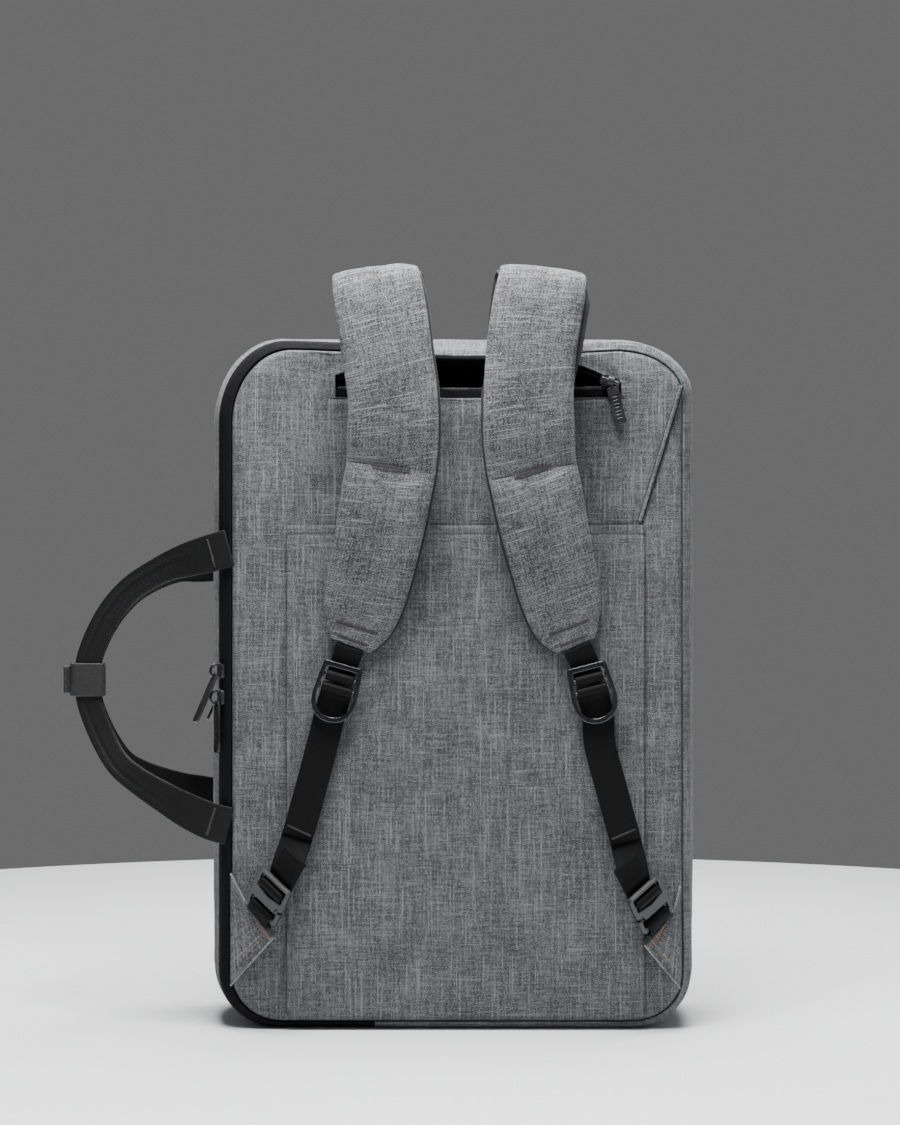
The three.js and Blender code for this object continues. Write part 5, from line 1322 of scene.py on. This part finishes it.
def lock_frame(name):
    """The adjuster's origin and its u, v and n directions, flat to the panel and turned."""
    aside, below, turn = LOCK_PLACES[name]
    turn = math.radians(turn)
    x = STRAP_CENTRE + aside * STRAP_SPREAD
    return np.array([x, BACK_FACE - LOCK_STANDOFF, STRAP_END - below]), np.array([
        [math.cos(turn), 0, -math.sin(turn)], [-math.sin(turn), 0, -math.cos(turn)], [0, -1, 0],
    ])


def hook_frame(name):
    """The hook's origin and directions. Its bars and sides look skewed from the front,
    because it leans out of the panel's plane, by as much as the two seen angles ask."""
    side, inside, z, bars, sides = HOOK_PLACES[name]
    bars, sides = math.radians(bars), math.radians(sides)
    skew = math.sin(bars) * math.cos(sides) - math.cos(bars) * math.sin(sides)
    share = 1 / (1 + max(skew, 0))
    flat, lean = math.sqrt(share), math.sqrt(1 - share)
    u = np.array([flat * math.cos(bars), side * lean, side * flat * math.sin(bars)])
    v = np.array([side * flat * math.sin(sides), lean, -flat * math.cos(sides)])
    n = unit(np.cross(u, v))
    if n[1] > 0:
        n = -n
    origin = np.array([panel_side(side) - side * inside, BACK_FACE - HOOK_STANDOFF, z])
    return origin, np.array([u, v, n])


def in_frame(place, points):
    """Points given as u, v and n in a frame, as X, Y and Z."""
    origin, axes = place
    return origin + np.asarray(points, float) @ axes


def hairpin(v, start, end, count=9):
    """A half turn of webbing round a bar at v, as v and n pairs from one angle to another."""
    radius = BAR_RADIUS + WEB_THICKNESS / 2 + 0.45
    angle = np.radians(np.linspace(start, end, count))
    return [(v + radius * math.cos(a), radius * math.sin(a)) for a in angle]


UPPER_LOOP = [
    (-19, NEAR_LAYER), (-15.6, NEAR_LAYER), (-13.6, -2.2), *hairpin(LOCK_BAR_UPPER, 190, -20),
    (LOCK_BAR_UPPER + 1.3, -3.0), (LOCK_BAR_UPPER - 1.4, -4.5), (-15.6, FAR_LAYER), (-19, FAR_LAYER),
]
LOCK_WRAP = [
    (14, NEAR_LAYER), (7, NEAR_LAYER), (LOCK_BAR_LOWER + 3.9, -2.6), *hairpin(LOCK_BAR_LOWER, -10, 200),
    (LOCK_BAR_LOWER - 1.3, -3.0), (LOCK_BAR_LOWER + 1.4, -4.5), (7, FAR_LAYER), (14, FAR_LAYER),
]
HOOK_WRAP = [
    (-17, NEAR_LAYER - 1.2), (-12.6, NEAR_LAYER - 1.2), (-10.3, -3.3), *hairpin(HOOK_BAR, 190, -20),
    (HOOK_BAR + 1.0, -3.1), (HOOK_BAR - 1.8, -4.9), (-12, FAR_LAYER - 0.4), (-17, FAR_LAYER - 0.3),
]
# shares of the way from adjuster to hook down and aside, distance out, blend of the frames
STANDING_RUN = {
    "left": [(0.242, 0.195, 6.9, 0), (0.494, 0.397, 8, 0.1), (0.706, 0.577, 11, 0.35)],
    "right": [(0.229, 0.115, 6.9, 0), (0.449, 0.324, 8, 0.1), (0.702, 0.575, 11, 0.35)],
}
SEWN_LENGTH = 16
# how far a bar of stitches stands off the middle of the webbing
BAR_LIFT = 0.72
HANDLE_BAR_LIFT = 0.95


def webbing_band(rows, across, width, thickness):
    """A band of webbing along a smooth path through rows, with a direction across for each."""
    fine = smooth_path(np.concatenate([rows, across], 1), 5)
    return band(fine[:, :3], unit(fine[:, 3:]), width, thickness)


def make_upper_webbing(name, path):
    """The doubled webbing from the strap's end round the adjuster's upper bar."""
    lock = lock_frame(name)
    start = path["at"][-1] + path["tangent"][-1] * 1.2
    loop = in_frame(lock, [(0, v, n) for v, n in UPPER_LOOP])
    ends = [start + [0, -LAYER_STEP / 2, 0], start + [0, LAYER_STEP / 2, 0]]
    rows = np.concatenate([[ends[0]], loop, [ends[1]]])
    across = np.concatenate([[path["across"][-1]], np.tile(lock[1][0], (len(loop), 1)),
                             [path["across"][-1]]])
    web = webbing_band(rows, across, WEB_IN_LOCK, WEB_THICKNESS - 0.1)
    make_piece(f"upper_webbing_{name}_woven", [web], WEBBING, [f"upper_webbing_{name}"])


def make_lower_webbing(name):
    """The long webbing: tail, round the adjuster's lower bar, the standing run, round the
    hook's bar and up to its sewn end."""
    lock, hook = lock_frame(name), hook_frame(name)
    standing, turned = [], []
    for down, aside, out, blend in STANDING_RUN[name]:
        x = lock[0][0] + (hook[0][0] - lock[0][0]) * aside
        z = lock[0][2] + (hook[0][2] - lock[0][2]) * down
        standing.append((x, BACK_FACE - out, z))
        turned.append(unit(lock[1][0] * (1 - blend) + hook[1][0] * blend))
    standing, turned = np.array(standing), np.array(turned)
    tail = (standing + [0, -LAYER_STEP, 0])[::-1]
    wrap = in_frame(lock, [(0, v, n) for v, n in LOCK_WRAP])
    hooked = in_frame(hook, [(0, v, n) for v, n in HOOK_WRAP])
    v, n = HOOK_WRAP[-1]
    sewn = in_frame(hook, [(0, v - SEWN_LENGTH, n - 1.5)])
    rows = np.concatenate([tail, wrap, standing, hooked, sewn])
    across = np.concatenate([
        turned[::-1], np.tile(lock[1][0], (len(wrap), 1)), turned,
        np.tile(hook[1][0], (len(hooked) + 1, 1)),
    ])
    web = webbing_band(rows, across, WEB_WIDTH, WEB_THICKNESS - 0.1)
    make_piece(f"lower_webbing_{name}_woven", [web], WEBBING, [f"lower_webbing_{name}"])
    tail_at, near = tail[0] * 0.86 + tail[1] * 0.14, np.array([0, -1.0, 0])
    sewn_at, out = hooked[-1] * 0.35 + sewn[0] * 0.65, -hook[1][2]
    sew(f"lower_webbing_bars_{name}", [
        bartack(tail_at + near * BAR_LIFT, turned[-1], near, WEB_WIDTH * 0.86, 1.5),
        bartack(sewn_at + out * BAR_LIFT, hook[1][0], out, WEB_WIDTH * 0.8, 1.6),
    ], BLACK_THREAD)


# Corner wings. The free edge's ends are u outwards, v and n in the hook's frame
WING_SEAM = {"left": (-0.1, 100, 28.7), "right": (2.3, 92, 27)}
WING_EDGE = {"outer": (15.2, 16.4, -0.6), "inner": (-14.6, 22.4, -2.4)}
WING_MOUTH = 20.5
WING_LOOP = [
    (19.2, 1.0), (16.7, 1.7), (14.4, 2.6), (12, 2.8), (10.2, 2.6), (8.9, 1.5), (8.6, 0),
    (8.9, -1.5), (10.2, -2.6), (12, -2.8), (14.4, -2.6), (16.7, -1.7), (19.2, -1.0),
]


def mouth_frame(name):
    """The wing's free edge: its two ends, and a frame on its middle that runs along it."""
    side = HOOK_PLACES[name][0]
    hook = hook_frame(name)
    start, end = (in_frame(hook, [(side * u, v, n)])[0] for u, v, n in WING_EDGE.values())
    u = unit(end - start)
    if u @ hook[1][0] < 0:
        u = -u
    v = unit(hook[1][1] - (hook[1][1] @ u) * u)
    n = unit(np.cross(u, v))
    if n[1] > 0:
        n = -n
    return start, end, ((start + end) / 2, np.array([u, v, n])), hook


def make_wing(name):
    """A folded triangle of cloth from the side seam to the free edge. Across it the cloth
    bellies out a little; along the free edge it is a round fold, and at the seam it is flat.
    A webbing loop comes out of the fold and goes round the hook's end bar."""
    start, end, mouth, hook = mouth_frame(name)
    side = HOOK_PLACES[name][0]
    inside, high, low = WING_SEAM[name]
    half = WING_THICKNESS / 2
    seam_x = panel_side(side) - side * inside
    seam_y = BACK_FACE - GAP - half
    along_edge = np.linspace(0, 1, 44)[:, None]
    root = np.array([seam_x, seam_y, high]) + np.array([0, 0, low - high]) * along_edge
    tip = start + (end - start) * along_edge
    t = np.sin(np.linspace(0, np.pi / 2, 26))[None, :, None]
    middle = root[:, None] * (1 - t) + tip[:, None] * t
    lean = unit(np.array([0, -1.0, 0]) * (1 - t) + mouth[1][2] * t)
    t, k = t[..., 0], along_edge
    thick = half * (1.0 + 0.7 * t)
    thick = thick * np.clip(np.minimum(k, 1 - k) / 0.035 + 0.35, 0, 1)
    hem = 0.3 * np.exp(-((t - 0.93) / 0.02) ** 2) + 0.3 * np.exp(-((1 - k - 0.12) / 0.02) ** 2)
    belly = 1.1 * np.sin(np.pi * t) * np.sin(np.pi * k) + 0.3 * ripple(t * 30, k * 60 + 0 * t, 22, 91)
    near = middle + lean * (thick + belly * hump(t * 0.5 + 0.25) - hem)[..., None]
    far = middle - lean * (thick - 0.2)[..., None]
    lip = [tip + mouth[1][2] * thick[:, -1:] * math.sin(a) - mouth[1][1] * 0.35 * math.cos(a)
           for a in np.radians(np.linspace(60, -60, 5))]
    grid = np.concatenate([near, np.stack(lip, 1), far[:, ::-1]], axis=1)
    wing = patch(grid, band_map(grid), round_columns=True, ends=True)
    make_piece(f"wing_{name}_cloth", [wing], BODY_CLOTH, [f"wing_{name}"])
    # the wing's two folded edges in paler cloth: a painted highlight
    folds = [band((near[k] + far[k]) / 2, lean[0], 2 * half, 1.3, corner=0.6) for k in (0, -1)]
    make_piece(f"wing_folds_{name}", folds, FOLD_HIGHLIGHT_CLOTH)

    v, n = np.array(WING_LOOP).T
    turn = ramp((v - 14) / (WING_MOUTH - 15))[:, None]
    zero = np.zeros(len(v))
    at = (in_frame(hook, np.stack([zero, v, n], 1)) * (1 - turn)
          + in_frame(mouth, np.stack([zero, v - WING_MOUTH, n], 1)) * turn)
    across = unit(hook[1][0] * (1 - turn) + mouth[1][0] * turn)
    loop = webbing_band(at, across, WEB_WIDTH - 1, WEB_THICKNESS - 0.3)
    make_piece(f"wing_loop_{name}_woven", [loop], WEBBING, [f"wing_loop_{name}"])

    proud = near + lean * 0.12
    rows = [stitch_row(proud[first:41, s], lean[0, s], pitch=2.2, long=0.95, thick=0.32)
            for s, first in ((22, 16), (20, 20), (18, 23))]
    rows.append(stitch_row(proud[37, 4:23], lean[0, 12], pitch=2.8, long=0.9, thick=0.22))
    sew(f"wing_stitches_{name}", rows, RUST_THREAD)


HANDLE_REACH = 97.5
HANDLE_TOP = BODY_HEIGHT - 138
HANDLE_SPAN = 177
HANDLE_WEB = 24
HANDLE_THICKNESS = 1.8
HANDLE_NARROW = 0.7
HANDLE_FOLD = 1.7
FAR_SPAN_SHARE = 0.93
WRAP_HEIGHT = 22
WRAP_WALL = 1.8
WRAP_CLEARANCE = 0.4
WRAP_SLACK = 1.3
WRAP_TAB = 4.5
WRAP_ROUNDING = 0.42
GRIP_ROW = 9
# reach, down, near, fold, as in the CAD
HANDLE_ROWS = np.array([
    (0.0, 0.0, 0.0, 0), (0.12, 0.018, 0.06, 0), (0.29, 0.043, 0.22, 0.3), (0.45, 0.073, 0.42, 0.8),
    (0.69, 0.148, 0.72, 1), (0.825, 0.225, 0.86, 1), (0.91, 0.3, 0.93, 1), (0.965, 0.368, 0.96, 1),
    (0.995, 0.425, 0.97, 1), (1.0, 0.487, 0.97, 1), (0.995, 0.548, 0.97, 1), (0.958, 0.618, 0.955, 1),
    (0.875, 0.718, 0.9, 1), (0.78, 0.796, 0.8, 1), (0.66, 0.846, 0.66, 0.9), (0.42, 0.917, 0.38, 0.5),
    (0.28, 0.952, 0.2, 0.2), (0.12, 0.985, 0.06, 0), (0.0, 1.0, 0.0, 0),
])


def handle_rows(face):
    """Places, folds, widths and thicknesses of a handle's rows."""
    reach, down, near, fold = HANDLE_ROWS.T
    share = 1 if face < 0 else FAR_SPAN_SHARE
    root = -BODY_WIDTH / 2 + INSET_LEFT - 1
    outside = -BACK_FACE + GAP + HANDLE_THICKNESS / 2
    grip = HANDLE_THICKNESS * HANDLE_FOLD / 2 + GAP / 2
    y = face * (outside + (grip - outside) * np.minimum(near / 0.97, 1))
    z = HANDLE_TOP - HANDLE_SPAN / 2 + (0.5 - down) * HANDLE_SPAN * (share + (1 - share) * fold)
    at = np.stack([root - reach * HANDLE_REACH, y, z], 1)
    width = HANDLE_WEB * (1 + (HANDLE_NARROW - 1) * fold)
    thick = HANDLE_THICKNESS * (1 + (HANDLE_FOLD - 1) * fold)
    return at, fold, width, thick


def make_handle(name, face):
    """A webbing handle, flat where it is sewn on and folded lengthwise where it is held. The
    fold shows as a groove along its faces, and a bar of stitches crosses each sewn end."""
    at, fold, width, thick = handle_rows(face)
    across = unit(np.cross(unit(np.gradient(at, axis=0)), np.array([0.0, 1.0, 0.0])))
    fine = smooth_path(np.column_stack([at, across, width, thick, fold]), 12)
    profile = flat_tube(fine[:, 6], fine[:, 7] - 0.1, corner=0.5, side_points=8, face_points=15)
    groove = 0.55 * np.exp(-((profile[..., 0] / fine[:, 6:7] + 0.16) / 0.045) ** 2) * fine[:, 8:9]
    profile[..., 1] -= np.sign(profile[..., 1]) * groove * (np.abs(profile[..., 1]) > 0.3)
    grid = sweep(fine[:, :3], unit(fine[:, 3:6]), profile)
    strap = patch(grid, band_map(grid), round_columns=True, ends=True)
    make_piece(f"handle_{name}_woven", [strap], HANDLE_WEBBING, [f"handle_{name}"])
    out = np.array([0, face, 0])
    bars = []
    for sewn in (at[1], at[-2]):
        k = int(np.argmin(np.abs(fine[:, [0, 2]] - sewn[[0, 2]]).sum(axis=1)))
        middle = fine[k, :3] + out * HANDLE_BAR_LIFT
        bars.append(bartack(middle, fine[k, 3:6], out, HANDLE_WEB * 0.8, 1.8))
    sew(f"handle_bars_{name}", bars, BLACK_THREAD)


def make_wrap():
    """The wrap round both grips: a rounded band with its flap's end on the outer side. Its
    wall swells unevenly, with a sunk stitch line near each rim."""
    at, _, width, thick = (v[GRIP_ROW] for v in handle_rows(-1))
    inner_a, inner_b = width / 2 + WRAP_SLACK, (2 * thick + GAP) / 2 + WRAP_CLEARANCE
    share = np.concatenate([[0, 0.01, 0.035], np.linspace(0.07, 0.93, 26), [0.965, 0.99, 1]])
    z = WRAP_HEIGHT * (share - 0.5)
    angle = np.linspace(0, 2 * np.pi, 96, endpoint=False)
    boxy = lambda v: np.sign(v) * np.abs(v) ** WRAP_ROUNDING
    ring = lambda a, b: np.stack([a * boxy(np.cos(angle)), b * boxy(np.sin(angle))], 1)
    rim = 1 - np.clip(1 - (WRAP_HEIGHT / 2 - np.abs(z)) / 0.8, 0, 1) ** 2 * 0.4
    hem = 0.25 * np.exp(-((WRAP_HEIGHT / 2 - np.abs(z) - 2.2) / 0.5) ** 2)
    outer = ring(inner_a + WRAP_WALL, inner_b + WRAP_WALL)
    inner = ring(inner_a, inner_b)
    wave = 0.22 * ripple(angle[None, :] * 12, z[:, None] * 0.7, 13, 95)
    out_xy = inner + (outer - inner) * rim[:, None, None]
    out_xy = out_xy + unit(outer)[None] * (wave - hem[:, None])[..., None]
    in_xy = np.repeat(inner[None], len(z), 0)
    both_xy, both_z = np.concatenate([out_xy, in_xy[::-1]]), np.concatenate([z, z[::-1]])
    both_z = np.broadcast_to(both_z[:, None, None], (*both_xy.shape[:2], 1))
    shell = np.concatenate([both_xy, both_z], -1) + [at[0], 0, at[2]]
    run = np.append(angle, 2 * np.pi) * inner_a
    level = np.concatenate([z, z[::-1] + 30, [z[0]]])
    wall = patch(shell, np.stack(np.meshgrid(run, level), -1), round_rows=True, round_columns=True)
    flap_x = at[0] - inner_a - WRAP_WALL - WRAP_TAB
    x = np.linspace(flap_x, flap_x + WRAP_TAB + 1.5, 8)
    tab_at = np.stack([x, 0.25 * np.sin(np.arange(8) * 0.8), np.full(8, at[2])], 1)
    flap = band(tab_at, np.tile([0.0, 0.0, 1.0], (8, 1)), WRAP_HEIGHT * 0.84,
                2 * WRAP_WALL - 0.4, corner=0.35, face_points=16)
    make_piece("handle_wrap_leather", [wall, flap], WRAP_LEATHER, ["handle_wrap"])


METAL = {"slot": "slider_metal", "grain": 0.2, "passes": 4}


def moulded(node, name, finish, slot, grain, body=BAG, passes=10):
    """A hard piece from the CAD node's own shape: the copy's points are merged, it is meshed
    again in even cells of grain millimetres, and smoothed in some passes so that its edges
    come out rounded as from a mould."""
    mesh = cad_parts[node].data.copy()
    mesh.name = name
    merge_doubles(mesh, 0.002)
    mesh.materials.clear()
    mesh.materials.append(finish)
    piece = to_scene(name, mesh)
    cells = piece.modifiers.new("even cells", "REMESH")
    cells.mode = "VOXEL"
    cells.voxel_size = grain * MM
    cells.use_smooth_shade = True
    soft = piece.modifiers.new("rounded edges", "SMOOTH")
    soft.factor = 0.5
    soft.iterations = passes
    return dress(piece, [node], body)


RIDGE_PITCH = 2.3


def make_ridges(node):
    """Plain grip ridges across the near face of a pull's tab, riding on the body that has the
    pull's name. The tab's own directions come from its points: the longest spread is its
    length, the least its thickness."""
    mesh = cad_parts[node].data
    points = np.empty(len(mesh.vertices) * 3)
    mesh.vertices.foreach_get("co", points)
    points = points.reshape(-1, 3) / MM
    middle = points.mean(axis=0)
    _, _, axes = np.linalg.svd(points - middle, full_matrices=False)
    down, thin = axes[0] * (-1 if axes[0][2] > 0 else 1), axes[2] * (-1 if axes[2][1] > 0 else 1)
    frame_axes = np.stack([down, np.cross(thin, down), thin])
    local = (points - middle) @ frame_axes.T
    low, high = local.min(axis=0), local.max(axis=0)
    tab = local[local[:, 0] > low[0] + 0.5 * (high[0] - low[0])]
    width, face = np.ptp(tab[:, 1]), tab[:, 2].max()
    centre = (tab[:, 1].max() + tab[:, 1].min()) / 2
    stops = np.arange(low[0] + 0.45 * (high[0] - low[0]), high[0] - 2.2, RIDGE_PITCH)
    at = middle + np.stack([stops, 0 * stops + centre, 0 * stops + face], 1) @ frame_axes
    sizes = np.tile([0.62, width * 0.33, 0.42], (len(stops), 1))
    axes = np.tile(frame_axes, (len(stops), 1, 1))
    scatter_beads(f"{node}_ridges", at, axes, sizes, SLIDER_METAL, node,
                  sides=10, rings=5)


def make_hardware():
    """Adjusters, hooks, sliders and pulls."""
    make_ridges("slot_pull")
    for name in SIDES:
        lock, hook = f"adjuster_{name}", f"hook_{name}"
        moulded(lock, f"{lock}_moulded", LOCK_PLASTIC, "adjuster_plastic", 0.32)
        moulded(hook, f"{hook}_moulded", HOOK_PLASTIC, "hook_plastic", 0.3)
    moulded("slot_slider", "slot_slider_cast", SLIDER_METAL, **METAL)
    moulded("slot_pull", "slot_pull_cast", SLIDER_METAL, body="slot_pull", **METAL)
    for name in ("back_upper", "back_lower", "front"):
        slider, pull = f"side_slider_{name}", f"side_pull_{name}"
        moulded(slider, f"{slider}_cast", SIDE_METAL, **METAL)
        moulded(pull, f"{pull}_cast", SIDE_METAL, body=pull, **METAL)


WELT_TOP_X = 146.4


def make_body_seams():
    """Seams on the back panel: the slanted welt from the right shoulder down to the sleeve,
    with a thin dark band in its groove as painted shade, and its stitches, and the rows of
    stitches on the slot's hem and the sleeve's hems."""
    near = np.array([0, -1.0, 0])
    high = np.array([WELT_TOP_X, 0, PANEL_TOP - 24])
    low = np.array([SLEEVE_RIGHT - 1.5, 0, SLEEVE_TOP + 2])
    share = np.linspace(0, 1, 110)[:, None]
    welt = high + (low - high) * share
    welt[:, 1] = BACK_FACE - 1.15 + 0.5 * ramp((0.08 - share[:, 0]) / 0.08)
    left = np.cross(unit(low - high), near)
    left = left if left[0] < 0 else -left
    fold = band(welt + left * 1.1, np.tile(left, (len(welt), 1)), 2.4, 1.5, corner=0.6)
    make_piece("shoulder_welt", [fold], BODY_CLOTH)
    # a thin dark band along the welt: painted shade in its groove
    groove = band(welt - left * 0.35, np.tile(left, (len(welt), 1)), 0.7, 0.9, corner=0.3)
    make_piece("shoulder_seam", [groove], SEAM_SHADE)
    row = stitch_row(welt + left * 3.1 - near * 0.35, near, pitch=2.6, long=0.85, thick=0.28)
    sew("shoulder_stitches", [row], GREY_THREAD)

    face = BACK_FACE - GAP - SLEEVE_THICKNESS
    x = np.linspace(SLEEVE_LEFT + 4, SLEEVE_RIGHT - 4, 120)
    lines = [np.stack([x, np.full(120, face - 0.35), np.full(120, SLEEVE_TOP - TOP_STITCH)], 1)]
    z = np.linspace(SLEEVE_TOP - 6, SLEEVE_BOTTOM + 6, 160)
    y = face - 0.3 - open_edge_lift(SIDE_STITCH, SLEEVE_TOP - z, z - SLEEVE_BOTTOM)
    for x in (SLEEVE_LEFT + SIDE_STITCH, SLEEVE_RIGHT - SIDE_STITCH):
        lines.append(np.stack([np.full(160, x), y, z], 1))
    rows = [stitch_row(line, near, pitch=3.2, long=1.1, thick=0.22) for line in lines]
    sew("sleeve_stitches", rows, GREY_THREAD)

    x = np.linspace(SLOT_LEFT + 2, SLOT_RIGHT - 2, 200)
    hem = np.stack([x, np.full(200, BACK_FACE - 0.35), np.full(200, SLOT_FLOOR - HEM_STITCH)], 1)
    row = stitch_row(pressed(hem), near, pitch=3.0, long=1.0, thick=0.22)
    sew("slot_hem_stitches", [row], GREY_THREAD)


CAMERA_PLACE = (-1.9, -1652, 297.8)
CAMERA_LENS = 80.4
FLOOR_RADIUS = 900
FLOOR_SIDES = 180
LIGHT_AIM = (0, 0, 260)
SKY_STRENGTH = 0.15
# place, width and power in watts
STUDIO_LIGHTS = [
    ("key light", (-60, -300, 900), 320, 15.5),
    ("fill light", (1400, -1300, 700), 1100, 4.1),
    ("top light", (60, 120, 1300), 800, 43),
]


def make_studio():
    """A round pale floor, a weak white sky all round, a key light high in front, a soft fill
    from the right, a broad top light a little behind, and the camera at the photograph's
    angle."""
    turn = np.linspace(0, 2 * np.pi, FLOOR_SIDES, endpoint=False)
    rim = np.stack([np.cos(turn), np.sin(turn), 0 * turn], 1) * FLOOR_RADIUS * MM
    mesh = bpy.data.meshes.new("studio_floor")
    mesh.from_pydata(rim.tolist(), [], [list(range(FLOOR_SIDES))])
    floor = to_scene("studio_floor", mesh)
    finish, w, shader = new_finish("studio floor", {"Roughness": 0.6})
    point = w.node("ShaderNodeTexCoord").outputs["Object"]
    shade = w.blend(w.grain(point, 3.0, 3.0), (0.76, 0.775, 0.79, 1), (0.80, 0.81, 0.825, 1), "RGBA")
    w.plug(shader, "Base Color", shade)
    mesh.materials.append(finish)

    world = bpy.data.worlds.new("studio sky")
    bpy.context.scene.world = world
    world.use_nodes = True
    sky = world.node_tree.nodes["Background"]
    sky.inputs["Color"].default_value = (1.0, 1.0, 1.0, 1)
    sky.inputs["Strength"].default_value = SKY_STRENGTH

    for name, place, width, power in STUDIO_LIGHTS:
        lamp = bpy.data.lights.new(name, "AREA")
        lamp.size = width * MM
        lamp.energy = power
        light = to_scene(name, lamp)
        light.location = np.array(place) * MM
        light.rotation_mode = "QUATERNION"
        light.rotation_quaternion = (Vector(LIGHT_AIM) - Vector(place)).to_track_quat("-Z", "Y")

    data = bpy.data.cameras.new("camera")
    data.sensor_fit = "VERTICAL"
    data.sensor_width = data.sensor_height = 36
    data.lens = CAMERA_LENS
    data.clip_start, data.clip_end = 0.05, 40
    camera = to_scene("camera", data)
    camera.location = np.array(CAMERA_PLACE) * MM
    camera.rotation_euler = (math.radians(90), 0, 0)
    bpy.context.scene.camera = camera


make_studio()
make_gusset()
for label, face in (("back", -1), ("front", 1)):
    make_strip(f"{label}_zip_tape", face, True, ZIP_TAPE, f"{label}_zip")
    make_strip(f"{label}_piping_cloth", face, False, BODY_CLOTH, f"{label}_piping")
make_back_panel()
make_front_panel()
make_sleeve()
make_pocket()
make_slot_tapes()
make_slot_coil()
make_body_seams()
for label, side in SIDES.items():
    strap = make_strap(label, side)
    strap_stitching(label, side, strap)
    make_upper_webbing(label, strap)
    make_lower_webbing(label)
    make_wing(label)
make_handle("back", -1)
make_handle("front", 1)
make_wrap()
make_hardware()
